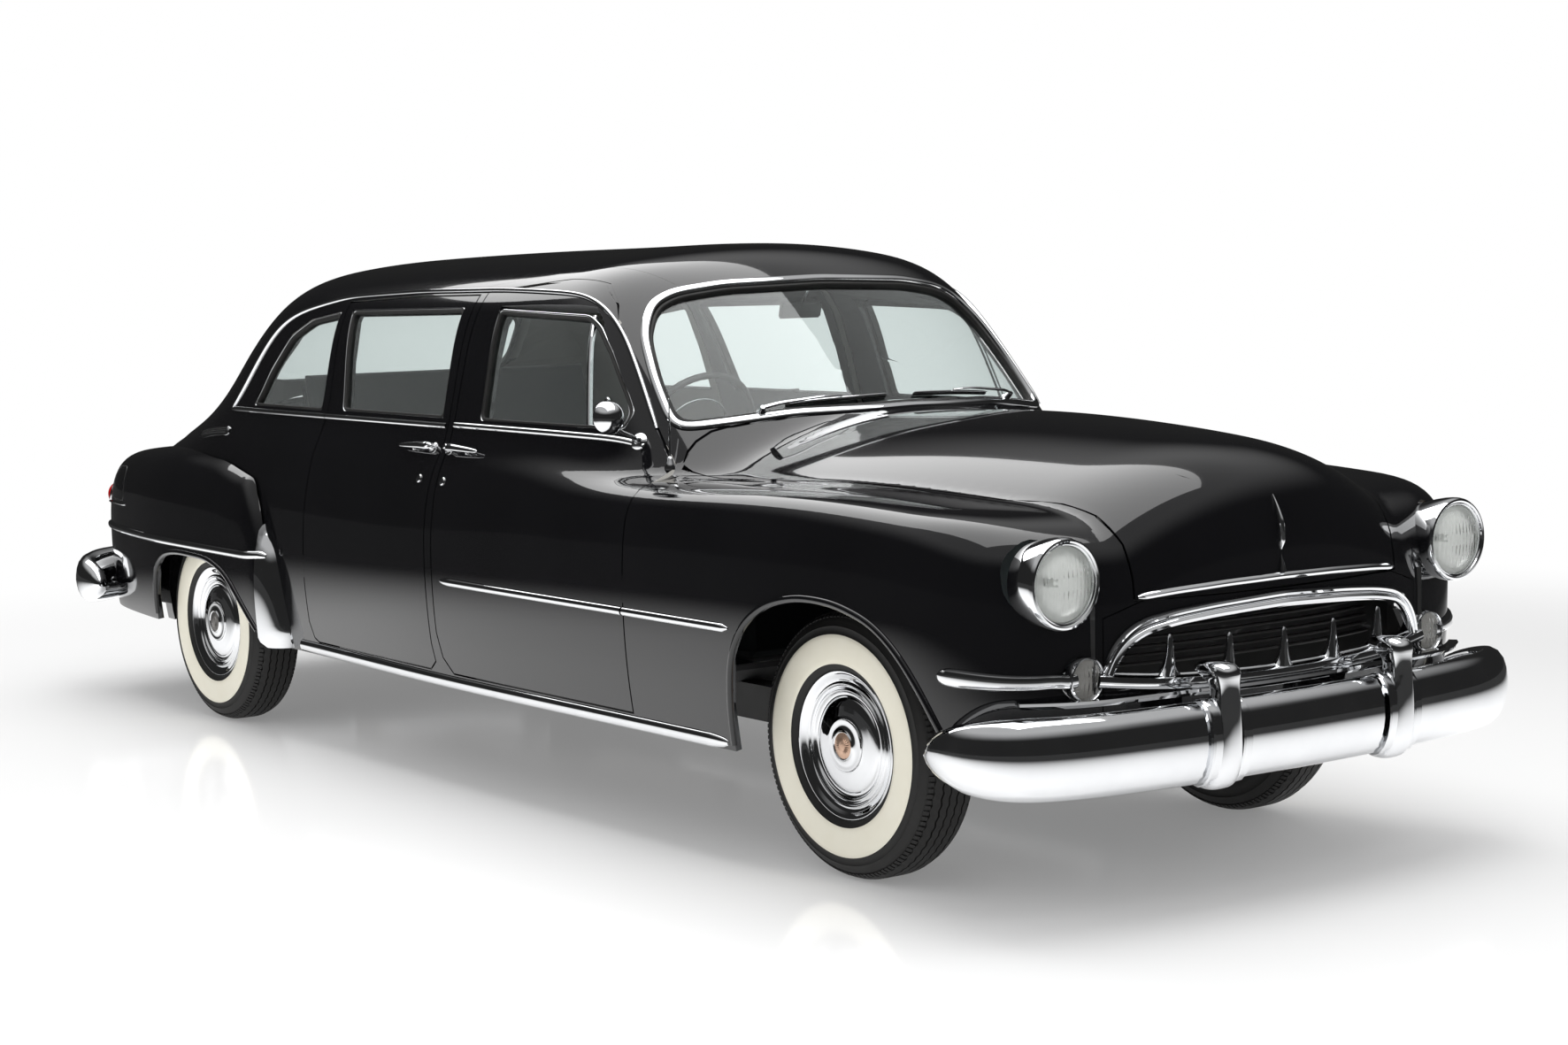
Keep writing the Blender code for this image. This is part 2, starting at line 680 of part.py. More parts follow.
FRONT_ARCH = [(1.700, 0.20), (1.704, 0.480), (1.727, 0.619), (1.784, 0.712), (1.897, 0.782), (2.037, 0.812),
              (2.191, 0.809), (2.340, 0.772), (2.440, 0.705), (2.517, 0.610), (2.575, 0.500), (2.600, 0.20)]
REAR_ARCH = [(-2.045, 0.20), (-2.045, 0.456), (-2.010, 0.575), (-1.925, 0.632), (-1.795, 0.648),
             (-1.526, 0.642),
             (-1.385, 0.598), (-1.278, 0.498), (-1.177, 0.404), (-1.09, 0.20)]
# (y, z)
SCREEN = raised([(0.0, 1.272), (0.40, 1.262), (0.728, 1.226), (0.712, 1.360), (0.678, 1.490),
                 (0.612, 1.578), (0.530, 1.612),
          (0.360, 1.634), (0.0, 1.645)])
BACK_LIGHT = raised([(0.0, 1.262), (0.40, 1.262), (0.52, 1.275), (0.56, 1.32), (0.52, 1.49), (0.46, 1.54),
                     (0.34, 1.556),
              (0.0, 1.56)])
GRILLE_OPENING = [(0.0, 0.585), (0.56, 0.600), (0.575, 0.64), (0.52, 0.715), (0.46, 0.752), (0.30, 0.772),
                  (0.0, 0.780)]
NOSE_PANEL = [(0.0, 0.20), (0.60, 0.20), (0.60, 0.790), (0.47, 0.830), (0.47, 1.20), (0.0, 1.20)]


def grown(outline, by):
    """A closed outline moved outwards by a distance, or inwards by a negative one."""
    points = np.array(outline, float)
    ahead = np.roll(points, -1, axis=0) - points
    ahead /= np.linalg.norm(ahead, axis=1, keepdims=True)
    if np.sum(points[:, 0] * np.roll(points[:, 1], -1) - np.roll(points[:, 0], -1) * points[:, 1]) < 0:
        by = -by
    out = np.stack([ahead[:, 1], -ahead[:, 0]], axis=1)
    before = np.roll(out, 1, axis=0)
    middle = (out + before) / (1 + np.sum(out * before, axis=1, keepdims=True))
    return points + middle * by


def whole(half):
    """Both halves of an outline whose first and last rows are on the middle line."""
    return [(a, b) for a, b in half] + [(-a, b) for a, b in half[-2:0:-1]]


RIGHT_SIDE = (-SIDE_Y, -0.40)  # the stretch of Y that a cutter of the right side crosses


def side_prism(outline, by=0.0):
    return prism(grown(outline, by), 1, *RIGHT_SIDE)


# ---------------------------------------------------------------- body panels


def hood_grid(side_gap, outside, inside):
    """The hood, or a thicker one with a gap round it to cut its opening."""
    turn_x, core_z = F + 0.42, 0.86
    stations = [(x, 0) for x in (1.14, 1.22, 1.31, 1.42, 1.68, 1.95, 2.2, turn_x)]
    stations += [(turn_x, angle) for angle in (20, 40, 57, 73, 86, 94)]
    across = np.linspace(-1, 1, 11)
    origins, directions = [], []
    for x, angle in stations:
        angle = math.radians(angle)
        reach_x = x + 0.44 * math.sin(angle)
        half = float(HOOD_HALF(reach_x)) - 0.004 + side_gap
        origins.append([(x, share * half, core_z) for share in across])
        directions.append([(math.sin(angle), 0, math.cos(angle)) for share in across])
    if side_gap:
        origins.append([(x, y, z - side_gap) for x, y, z in origins[-1]])
        directions.append(directions[-1])
    return skin_plate(skin, np.array(origins), np.array(directions), outside, inside)


# (x, y) of the hood's back edge
HOOD_BACK = [(1.345, 0.0), (1.313, 0.263), (1.274, 0.403), (1.207, 0.587), (1.178, 0.650), (1.168, 0.700),
             (1.172, 0.735), (1.186, 0.762), (1.206, 0.785), (1.206, 0.95)]


def whole_plan(half):
    """Both halves of an (x, y) line that starts on the middle line, from right to left."""
    return [(x, -y) for x, y in half[:0:-1]] + list(half)


def hood_back_cutter(gap):
    """What lies behind the hood's back edge."""
    edge = [(x + gap, y) for x, y in whole_plan(HOOD_BACK)]
    return prism([(0.3, -0.95)] + edge + [(0.3, 0.95)], 2, 0.9, ROOF_Z)


def hood_with_gap(gap, outside, inside):
    return cut(hood_grid(gap, outside, inside), hood_back_cutter(-gap))


def make_hood():
    hood = hood_with_gap(0.0, 0.0, LID_WALL)
    publish(hood, "hood", "black_paint", HINGES["hood"])


def make_front_fenders():
    stations = [(x, 0) for x in (COWL_X + PANEL_GAP, 1.44, 1.70, 1.95, 2.18, FENDER_TURN_X)]
    stations += [(FENDER_TURN_X, -yaw) for yaw in (18, 34, 48, 62, 77, 92, 106, 122)]
    levels = [SILL_Z, 0.50, 0.66]
    tilts = [0, 13, 24, 34, 44, 56, 72, 90]
    rays = to_right(fan((0, FENDER_CORE_Y, FENDER_CORE_Z), levels, tilts, stations))
    fender = skin_plate(lower_skin, *rays, 0.0, FENDER_WALL)
    lamp_hole = LAMP_BUCKET + SEAT_GAP
    fender = cut(
        fender,
        prism(whole(NOSE_PANEL), 0, 2.3, FRONT_X),
        prism(whole(GRILLE_OPENING), 0, 2.3, FRONT_X),
        grille_bars(SEAT_GAP),
        box((1.0, -0.70, 0.9), (1.27, 0, 1.5)),
        hood_with_gap(PANEL_GAP, 0.08, 0.10),
        prism(FRONT_ARCH, 1, -SIDE_Y, -0.3),
        lamp_at_seat(turned([(0.0, 0.2), (lamp_hole, 0.2), (lamp_hole, -0.25), (0.0, -0.25)], LAMP_SIDES)),
        box((2.3, -SIDE_Y, 0.1), (FRONT_X, 0.1, 0.452)),
    )
    buffer = box((COWL_X + SEAT_GAP, -0.998, 0.72), (COWL_X + PANEL_GAP + 0.004, -0.986, 0.80))
    fender = join(fender, buffer)
    publish_pair(fender, "front_fender", "black_paint")


def make_nose_panel():
    """The panel between the fenders, round the grille."""
    ys = np.linspace(-0.66, 0.66, 10)
    zs = [0.50, 0.60, 0.70, 0.80, 0.90]
    origins = np.array([[(2.4, y, z) for y in ys] for z in zs])
    directions = np.broadcast_to(np.array([1.0, 0, 0]), origins.shape)
    panel = skin_plate(lower_skin, origins, directions, 0.0, FENDER_WALL)
    panel = keep_inside(panel, prism(grown(whole(NOSE_PANEL), -SEAM), 0, 2.2, FRONT_X))
    panel = cut(panel, hood_with_gap(PANEL_GAP, 0.08, 0.10), prism(whole(GRILLE_OPENING), 0, 2.3, FRONT_X),
                grille_bars(SEAT_GAP))
    publish(panel, "nose_panel", "black_paint")


def make_cabin():
    plate = cabin_plate()
    plate = cut(
        plate,
        prism(whole(SCREEN), 0, 0.60, 1.60),
        prism(whole(BACK_LIGHT), 0, -2.4, -1.40),
        hood_with_gap(PANEL_GAP, 0.08, 0.20),
    )
    doors = {}
    for name, outline, window in (("front", FRONT_DOOR, FRONT_WINDOW), ("rear", REAR_DOOR, REAR_WINDOW)):
        door = keep_inside(copy_of(plate), side_prism(outline))
        doors[name] = cut(door, side_prism(window))
        plate = cut(plate, side_prism(outline, PANEL_GAP))
    plate = cut(plate, side_prism(QUARTER_WINDOW))
    roof = cut(copy_of(plate), box((BACK_X, -SIDE_Y, 0), (2, 0.1, ROOF_SEAM_Z)))
    frame = cut(plate, box((BACK_X, -SIDE_Y, ROOF_SEAM_Z - SEAT_GAP), (2, 0.1, 2.0)))
    cowl = keep_inside(copy_of(frame), box((0.98, -COWL_HALF, 0.9), (1.6, 0.1, 1.5)))
    fender = bpy.data.objects["front_fender_right"]
    frame = cut(
        frame,
        box((0.95, -COWL_HALF - SEAT_GAP, 0.2), (1.7, 0.1, 1.5)),
        box((COWL_X + PANEL_GAP - SEAT_GAP, -SIDE_Y, 0.2), (1.7, 0.1, 1.35)),
        placed(copy_of(fender), (-SEAT_GAP, 0, SEAT_GAP)),
        placed(copy_of(fender), (-SEAT_GAP, 0, -SEAT_GAP)),
    )
    frame = cut(frame, box((BACK_X, -SEAT_GAP / 2, 0), (2, 0.1, 2)))
    wheel_arch = rod((R, -SIDE_Y, TYRE_RADIUS), (R, -0.6, TYRE_RADIUS), TYRE_RADIUS + 0.06, sides=40)
    frame = cut(frame, wheel_arch, box((R - 0.2, -SIDE_Y, 0.2), (R + 0.2, -0.6, TYRE_RADIUS)))
    buffer = box((REAR_DOOR_BACK_X - 0.03, -0.965, 0.62), (REAR_DOOR_BACK_X + 0.01, -0.945, 0.70))
    frame = join(frame, cut(buffer, placed(copy_of(doors["rear"]), (-SEAT_GAP, 0, 0))))
    for name, door in doors.items():
        publish_pair(door, f"{name}_door", "black_paint", HINGES[name])
    publish_pair(frame, "side_frame", "black_paint")
    roof = join(roof, mirrored(roof))
    publish(roof, "roof", "black_paint")
    cowl = join(cowl, mirrored(cowl))
    plenum = whole([(0.0, 1.0), (0.64, 1.0), (0.64, 1.165), (0.40, 1.202), (0.0, 1.225)])
    plenum = prism(plenum, 0, BULKHEAD_X, 1.40)
    under_hood = [(x - 0.02, y) for x, y in whole_plan(HOOD_BACK)] + [(1.6, 0.95), (1.6, -0.95)]
    plenum = cut(plenum, prism(under_hood, 2, 0.9, 1.5))
    hood = bpy.data.objects["hood"]
    seal = cut(box((1.28, -0.06, 1.15), (1.36, 0.06, 1.247)), placed(copy_of(hood), (0, 0, -SEAT_GAP)))
    bulkhead = box((BULKHEAD_X, -0.66, 0.48), (BULKHEAD_X + 0.03, 0.66, 1.02))
    cowl = join(cowl, plenum, seal, bulkhead)
    publish(cowl, "cowl", "black_paint")


def pane(outline, axis, bounds, core, grid):
    """A glass pane a little under the skin, inside its opening. The grid's points lie outside the skin, and each
    ray starts at core, a place worked out from the point it aims at."""
    aims = np.array(grid, float)
    origins = np.array([[core(*point) for point in row] for row in aims])
    directions = aims - origins
    directions /= np.linalg.norm(directions, axis=-1, keepdims=True)
    surface = cast(skin, origins, directions)
    out = normals(skin, surface)
    made = between(surface - out * GLASS_INSET, surface - out * (GLASS_INSET + GLASS_THICKNESS))
    return keep_inside(made, prism(grown(outline, -SEAT_GAP), axis, *bounds))


def make_glass():
    ys = [-0.76, -0.71, -0.65, -0.52, -0.30, 0.0, 0.30, 0.52, 0.65, 0.71, 0.76]
    front = [[(1.25 - 0.7 * (z - 1.2), y, z) for y in ys] for z in np.linspace(1.19, 1.67, 5)]
    screen = pane(whole(SCREEN), 0, (0.5, 1.7), lambda x, y, z: (0.2, 0.6 * y, 1.35), front)
    publish(keep_inside(screen, hood_back_cutter(-PANEL_GAP)), "windshield", "glass")
    ys = np.linspace(-0.62, 0.62, 7)
    rear = [[(-2.3 + 0.9 * (z - 1.2), y, z) for y in ys] for z in np.linspace(1.22, 1.68, 4)]
    back = pane(whole(BACK_LIGHT), 0, (-2.5, -1.2), lambda x, y, z: (-1.2, 0.7 * y, 1.35), rear)
    publish(back, "rear_window", "glass")
    for name, outline, foot, head, pivot in (
        ("front_door_glass", FRONT_WINDOW, (0.10, 1.09), (0.10, 0.70), HINGES["front"]),
        ("rear_door_glass", REAR_WINDOW, (-0.90, 0.03), (-0.90, 0.03), HINGES["rear"]),
        ("quarter_glass", QUARTER_WINDOW, (-1.60, -0.84), (-1.40, -0.84), (0, 0, 0)),
    ):
        side = []
        for share in np.linspace(0, 1, 4):
            ends = [low + (high - low) * share for low, high in zip(foot, head)]
            side.append([(x, -0.85, 1.16 + 0.53 * share) for x in np.linspace(*ends, 4)])
        made = pane(outline, 1, RIGHT_SIDE, lambda x, y, z: (0.95 * x, -0.30, 1.30), side)
        publish_pair(made, name, "glass", pivot)


LID_FRONT_X = HINGES["lid"][0]
LID_HALF = 0.66


def lid_grid(gap, outside, inside):
    turn_x, core_z = -2.42, 0.66
    stations = [(x, 0) for x in (LID_FRONT_X + gap, -2.35)]
    stations += [(turn_x, angle) for angle in (0, 16, 32, 48, 64, 77, 88)]
    across = np.linspace(-1, 1, 9)
    origins, directions = [], []
    for x, angle in stations:
        half = LID_HALF - 0.0006 * angle + gap
        angle = math.radians(angle)
        origins.append([(x, share * half, core_z) for share in across])
        directions.append([(-math.sin(angle), 0, math.cos(angle)) for share in across])
    if gap:
        origins.append([(turn_x, y, core_z - gap) for x, y, z in origins[-1]])
        directions.append([(-1.0, 0, 0) for share in across])
    return skin_plate(lower_skin, np.array(origins), np.array(directions), outside, inside)


def make_tail():
    publish(lid_grid(0.0, 0.0, LID_WALL), "trunk_lid", "black_paint", HINGES["lid"])
    yaws = [0, 14, 28, 41, 54, 66, 78, 90, 102, 114, 126, 139, 152, 166, 180]
    stations = [(QUARTER_BACK_X - 2 * SEAT_GAP, yaw) for yaw in yaws]
    rays = fan((0, 0, TAIL_CORE_Z), [0.40, 0.54], [0, 15, 28, 40, 54, 70, 86], stations)
    tail = skin_plate(lower_skin, *rays, 0.0, TAIL_WALL)
    tail = cut(tail, lid_grid(LID_GAP, 0.03, 0.08))
    for side in (RIGHT, LEFT):
        arm_slot = box((-3.0, side * RAIL_Y - 0.032, 0.462), (-2.80, side * RAIL_Y + 0.032, 0.558))
        side_frame = bpy.data.objects[f"side_frame_{SIDE_NAMES[side]}"]
        tail = cut(tail, arm_slot, placed(copy_of(side_frame), (-SEAT_GAP, 0, 0)))
    edge_z = seat_of(lower_skin, (LID_FRONT_X, 0.0, 1.0), (0, 0, 1))[0][2]
    buffer = box((LID_FRONT_X - 0.01, -0.12, edge_z - 0.016),
                 (LID_FRONT_X + LID_GAP + 0.01, 0.12, edge_z - 0.008))
    lid = bpy.data.objects["trunk_lid"]
    buffer = cut(buffer, placed(copy_of(lid), (SEAT_GAP, 0, 0)),
                 box((-2.4, -0.2, 1.0), (LID_FRONT_X - 0.004, 0.2, 1.3)))
    publish(join(tail, buffer), "rear_body", "black_paint")


def make_rear_fenders():
    stations = [(R + 0.42, yaw) for yaw in (-90, -70, -50, -30, -14)]
    stations += [(x, 0) for x in (R + 0.42, R + 0.15, R - 0.2, R - 0.5, R - 0.75)]
    stations += [(R - 0.75, yaw) for yaw in (20, 40, 60, 80, 100, 125)]
    core_y = REAR_WHEEL_Y - 0.01
    rays = to_right(fan((0, core_y, 0.76), [SILL_Z + 0.02, 0.45, 0.60], [0, 22, 40, 56, 74, 96, 118],
                        stations))
    fender = skin_plate(fender_skin, *rays, 0.0, FENDER_WALL)
    inner = to_right(fan((0, 0, CABIN_CORE_Z), [0.2, 0.46, 0.60], [0, 8, 15, 22, 30, 45],
                         [(QUARTER_BACK_X, yaw) for yaw in (100, 90, 78, 66, 55, 45, 35, 24, 12)]
                         + [(x, 0) for x in (-2.2, -1.9, -1.6, -1.3, -0.9)]))
    keep_off = skin_plate(skin, *inner, 0.008, 0.5)
    fender = cut(fender, keep_off, prism(REAR_ARCH, 1, -SIDE_Y, -0.5))
    for x, z in ((R - 0.25, 0.93), (R + 0.40, 0.82)):
        wall = seat_of(fender_skin, (x, -0.70, z), (0, -1, 0))[0][1]
        body = seat_of(skin, (x, 0.0, z), (0, -1, 0))[0][1]
        fender = join(fender, box((x - 0.03, wall + 0.010, z - 0.015), (x + 0.03, body + 0.012, z + 0.015)))
    fender = cut(fender, placed(copy_of(bpy.data.objects["side_frame_right"]), (0, -SEAT_GAP, 0)))
    publish_pair(fender, "rear_fender", "black_paint")


# ---------------------------------------------------------------- under the body


# (x, z) along the middle of the rails, and (x, y from, z) of each crossmember
REAR_RAIL = [(-2.812, 0.51), (-2.30, 0.52), (R, 0.615), (-1.15, 0.3567), (1.34, 0.3567)]
FRONT_RAIL = [(1.20, 0.3567), (1.70, 0.40), (2.72, 0.45)]
RAIL_WIDTH, RAIL_DEPTH = 0.080, 0.110
SPRING_WIDTH, SPRING_DEPTH = 0.060, 0.024
FORK_LOW, FORK_HIGH = -0.080, 0.042  # the fork's two plates, from the axle's height
FORK_PLATE, FORK_HALF, FORK_MARGIN = 0.033, 0.050, 0.010
EXHAUST_Y = 0.30
CROSSMEMBERS = [(-2.765, RAIL_Y, 0.51), (-1.33, RAIL_Y, 0.450), (1.03, RAIL_Y, 0.3567),
                (1.27, RAIL_Y, 0.3567),
                (2.62, FRONT_RAIL_Y, 0.445)]


def make_frame():
    rails = []
    for line, y in ((REAR_RAIL, RAIL_Y), (FRONT_RAIL, FRONT_RAIL_Y)):
        half = RAIL_DEPTH / 2
        outline = [(x, z + half) for x, z in line] + [(x, z - half) for x, z in line[::-1]]
        for side in (RIGHT, LEFT):
            rails.append(prism(outline, 1, side * y - RAIL_WIDTH / 2, side * y + RAIL_WIDTH / 2))
    for x, y, z in CROSSMEMBERS:
        rails.append(box((x - 0.04, -y, z - 0.035), (x + 0.04, y, z + 0.035)))
    rails.append(box((-0.24, -RAIL_Y, 0.374), (-0.16, RAIL_Y, 0.410)))
    z = TYRE_RADIUS
    inner, outer = KINGPIN_Y - KINGPIN_RADIUS - FORK_MARGIN, KINGPIN_Y + KINGPIN_RADIUS + FORK_MARGIN
    rails.append(box((F - 0.06, -inner, z - 0.048), (F + 0.06, inner, z + 0.032)))
    for side in (RIGHT, LEFT):
        post = sorted([side * (inner - FORK_HALF), side * inner])
        rails.append(box((F - FORK_HALF, post[0], z + FORK_LOW),
                         (F + FORK_HALF, post[1], z + FORK_HIGH + FORK_PLATE)))
        ends = sorted([side * (inner - FORK_HALF), side * outer])
        for low in (z + FORK_LOW, z + FORK_HIGH):
            rails.append(box((F - FORK_HALF, ends[0], low), (F + FORK_HALF, ends[1], low + FORK_PLATE)))
    bore = (KINGPIN_RADIUS + RUNNING_GAP) / math.cos(math.pi / PIN_SIDES)
    holes = []
    for side in (RIGHT, LEFT):
        y = side * KINGPIN_Y
        holes.append(rod((F, y, z - 0.18), (F, y, z + 0.18), bore, sides=PIN_SIDES))
    publish(cut(join(*rails), *holes), "frame", "chassis")


def make_floor():
    line = [(-2.735, 0.62), (-2.15, 0.62), (R - 0.3, 0.70), (R + 0.3, 0.70), (-1.15, CABIN_FLOOR_Z),
            (1.05, CABIN_FLOOR_Z),
            (1.085, CABIN_FLOOR_Z + 0.04)]
    outline = line + [(x, z - FLOOR_PLATE) for x, z in line[::-1]]
    floor = prism(outline, 1, -0.68, 0.68)
    sides = box((-1.15, -0.8635, CABIN_FLOOR_Z - FLOOR_PLATE), (1.05, 0.8635, CABIN_FLOOR_Z))
    mat = box((-0.90, -0.62, CABIN_FLOOR_Z - MAT_RISE), (0.02, 0.62, CABIN_FLOOR_Z + MAT_RISE))
    publish(join(floor, sides, mat), "floor_pan", "chassis")


def make_running_gear():
    tyre_half = TYRE_WIDTH / 2
    tyre_profile = [
        (RIM_RADIUS + 0.010, tyre_half - 0.030), (0.250, tyre_half - 0.003), (0.315, tyre_half - 0.002),
        (0.360, tyre_half - 0.028), (TYRE_RADIUS, tyre_half - 0.065),
    ]
    tyre_profile += [(r, -h) for r, h in tyre_profile[::-1]]
    wheel_profile = [
        (0.0, 0.055), (0.045, 0.046), (0.058, 0.030), (0.180, 0.042), (0.200, 0.068), (0.209, 0.066),
        (0.165, 0.020),
        (0.165, -0.045), (0.205, -0.066), (0.150, -0.052), (0.145, 0.0), (0.0, 0.0),
    ]
    for end, x, track in (("front", F, FRONT_TRACK), ("rear", R, REAR_TRACK)):
        place = (x, -track / 2, TYRE_RADIUS)
        tyre = placed(turned(tyre_profile, TYRE_STEPS, closed=True), place, (math.pi / 2, "X"))
        publish_pair(tyre, f"{end}_tyre", "tyre", place)
        wheel = placed(turned(wheel_profile, WHEEL_STEPS), place, (math.pi / 2, "X"))
        publish_pair(wheel, f"{end}_wheel", "chrome", place)
    z = TYRE_RADIUS
    hub_y = FRONT_TRACK / 2 - RUNNING_GAP
    knuckle = rod((F, -hub_y, z), (F, -KINGPIN_Y, z), SPINDLE_RADIUS)
    knuckle = join(knuckle, rod((F, -hub_y, z), (F, -hub_y + DRUM_WIDTH, z), DRUM_RADIUS, sides=DRUM_SIDES),
                   rod((F, -KINGPIN_Y, z - KINGPIN_REACH), (F, -KINGPIN_Y, z + KINGPIN_REACH),
                       KINGPIN_RADIUS, sides=PIN_SIDES))
    publish_pair(knuckle, "knuckle", "steel", (F, -KINGPIN_Y, z))
    hub_y = REAR_WHEEL_Y - RUNNING_GAP
    drums = [rod((R, side * (hub_y - DRUM_WIDTH), z), (R, side * hub_y, z), DRUM_RADIUS, sides=DRUM_SIDES)
             for side in (RIGHT, LEFT)]
    axle = join(rod((R, -hub_y, z), (R, hub_y, z), AXLE_TUBE_RADIUS), *drums)
    differential = turned([(0.0, 0.13), (0.10, 0.10), (0.145, 0.0), (0.10, -0.10), (0.0, -0.13)], 16)
    differential = placed(differential, (R, 0, z), (math.pi / 2, "Y"))
    propeller_shaft = rod((R + 0.1, 0, z), (0.90, 0, 0.285), 0.035)
    axle = join(axle, differential, propeller_shaft)
    spring = [(R + 0.58, -0.018), (R + 0.30, -0.026), (R, -0.033), (R - 0.30, -0.008), (R - 0.58, 0.112)]
    half = SPRING_DEPTH / 2
    leaves = [(x, z + rise + half) for x, rise in spring] + [(x, z + rise - half) for x,
                                                             rise in spring[::-1]]
    rail_side = RAIL_Y + RAIL_WIDTH / 2
    for side in (RIGHT, LEFT):
        ends = sorted([side * (rail_side + SEAT_GAP), side * (rail_side + SPRING_WIDTH)])
        axle = join(axle, prism(leaves, 1, *ends))
    publish(axle, "rear_axle", "steel")


def make_power():
    engine = box((1.42, -0.27, TYRE_RADIUS + 0.062), (2.28, 0.27, 1.05), 0.02)
    publish(engine, "engine", "engine")
    publish(box((2.40, -0.34, 0.4926), (2.46, 0.34, 1.02)), "radiator", "trim")
    line = [(1.45, 0.285), (1.0, 0.245), (-1.0, 0.24), (-1.3, 0.27), (-2.0, 0.27), (-2.3, 0.33),
            (-2.88, 0.345)]
    pipe = tube([(x, EXHAUST_Y, z) for x, z in line], 0.026)
    muffler = rod((-0.9, EXHAUST_Y, 0.235), (-0.1, EXHAUST_Y, 0.235), 0.075)
    rail_side = RAIL_Y - RAIL_WIDTH / 2 - SEAT_GAP
    muffler_hanger = box((-0.52, EXHAUST_Y, 0.295), (-0.48, rail_side, 0.315))
    tail_hanger = box((-2.36, EXHAUST_Y, 0.335), (-2.34, rail_side, 0.350))
    tail_strap = box((-2.36, rail_side - 0.012, 0.335), (-2.34, rail_side, 0.500))
    publish(join(pipe, muffler, muffler_hanger, tail_hanger, tail_strap), "exhaust", "steel")
    fuel_tank = box((-2.70, -0.38, 0.33), (-2.15, 0.22, FUEL_TANK_TOP_Z - SEAT_GAP), 0.03)
    publish(fuel_tank, "fuel_tank", "chassis")


BUMPER_Z = 0.462
GUARD_Y = 0.333


def bumper(direction):
    """A bumper bar whose section rows are (out, up), bowed in plan, with its guards and arms."""
    tip = LENGTH / 2
    end_y = -0.985 if direction > 0 else -REAR_WHEEL_Y - 0.170
    path = [(tip - 0.46, end_y), (tip - 0.32, end_y + 0.004), (tip - 0.215, -0.925), (tip - 0.145, -0.80),
            (tip - 0.105, -0.60),
            (tip - 0.080, -0.33), (tip - 0.070, 0.0)]
    path += [(x, -y) for x, y in path[-2::-1]]
    section = np.array([(0.0, 0.110), (0.030, 0.085), (0.050, 0.045), (0.056, 0.0), (0.048, -0.050),
                        (0.030, -0.090),
                        (0.0, -0.110), (-0.022, -0.100), (-0.012, 0.0), (-0.022, 0.100)])
    widths = [0.45, 0.80, 0.95, 1, 1, 1, 1, 1, 1, 1, 0.95, 0.80, 0.45]
    sections = [section * (1, width) for width in widths]
    path = [(x * direction, y, BUMPER_Z) for x, y in path]
    bar = sweep(path, [rows * (direction, 1) for rows in sections])
    for side in (RIGHT, LEFT):
        y = side * GUARD_Y
        guard = box((tip - 0.10, y - 0.045, 0.335), (tip, y + 0.045, 0.672), 0.028)
        if direction < 0:
            guard.data.transform(Matrix.Scale(-1, 4, (1, 0, 0)))
            guard.data.flip_normals()
        bar = join(bar, guard)
    return bar


def bumper_arms(bar, direction, rail_x, rail_y, z):
    for side in (RIGHT, LEFT):
        y = side * rail_y
        ends = sorted([direction * (rail_x + SEAT_GAP), direction * (LENGTH / 2 - 0.09)])
        bar = join(bar, box((ends[0], y - 0.025, z - 0.04), (ends[1], y + 0.025, z + 0.04)))
    return bar


def make_bumpers():
    publish(bumper_arms(bumper(1), 1, 2.72, FRONT_RAIL_Y, 0.45), "front_bumper", "chrome")
    publish(bumper_arms(bumper(-1), -1, 2.812, RAIL_Y, 0.51), "rear_bumper", "chrome")


def grille_bars(extra):
    """The arched surround, the lower bar and the two lamp pods, with extra on every radius."""
    arch = [(2.818, -0.60, 0.628), (2.826, -0.56, 0.70), (2.835, -0.48, 0.762), (2.860, -0.30, 0.785),
            (2.872, 0.0, 0.795)]
    arch += [(x, -y, z) for x, y, z in arch[-2::-1]]
    bar = [(2.812, -0.63, 0.632), (2.850, -0.40, 0.606), (2.872, -0.2, 0.597), (2.880, 0.0, 0.594)]
    bar += [(x, -y, z) for x, y, z in bar[-2::-1]]
    pods = []
    for side in (RIGHT, LEFT):
        place = (side * POD_Y, POD_Z)
        pods.append(rod((2.76 - extra, *place), (2.835, *place), POD_RADIUS + 0.004 + extra,
                        POD_RADIUS + extra))
    return join(tube(arch, 0.020 + extra), tube(bar, 0.021 + extra), *pods)


def make_grille():
    grille = grille_bars(0.0)
    for y in np.linspace(-0.40, 0.40, 5):
        x = 2.880 - 0.16 * y * y
        grille = join(grille, rod((x - 0.004, y, 0.600), (x + 0.004, y, 0.690), 0.030, 0.006, 8))
    publish(grille, "grille", "chrome")


def lamp_at_seat(lamp):
    return placed(lamp, (LAMP_X, -LAMP_Y, LAMP_Z), (math.pi / 2, "Y"))


def make_lamps():
    rim = [(0.0, 0.022), (0.050, 0.018), (0.088, 0.006), (0.104, 0.018), (LAMP_RADIUS, 0.006),
           (LAMP_RADIUS + 0.002, -0.030), (LAMP_BUCKET, -0.034), (LAMP_BUCKET, -0.10), (0.060, -0.16),
           (0.0, -0.17)]
    publish_pair(lamp_at_seat(turned(rim, LAMP_SIDES)), "headlamp", "chrome")
    tail = [(0.0, 0.042), (0.030, 0.038), (0.046, 0.024), (0.050, -0.016), (0.0, -0.016)]
    lamp = turned(tail, 16)
    place, out = seat_of(fender_skin, (R - 0.7, 0.01 - REAR_WHEEL_Y, 0.80), (-1, 0, 0))
    lamp = seated(facing(lamp, place, out), "rear_fender_right", out)
    publish_pair(lamp, "tail_lamp", "red_glass")


STEERING_HUB = (0.70, -0.38, 1.16)
STEERING_RAKE = (math.radians(-62), "Y")
STEERING_RADIUS, RIM_HALF, COLUMN_RADIUS = 0.218, 0.013, 0.020


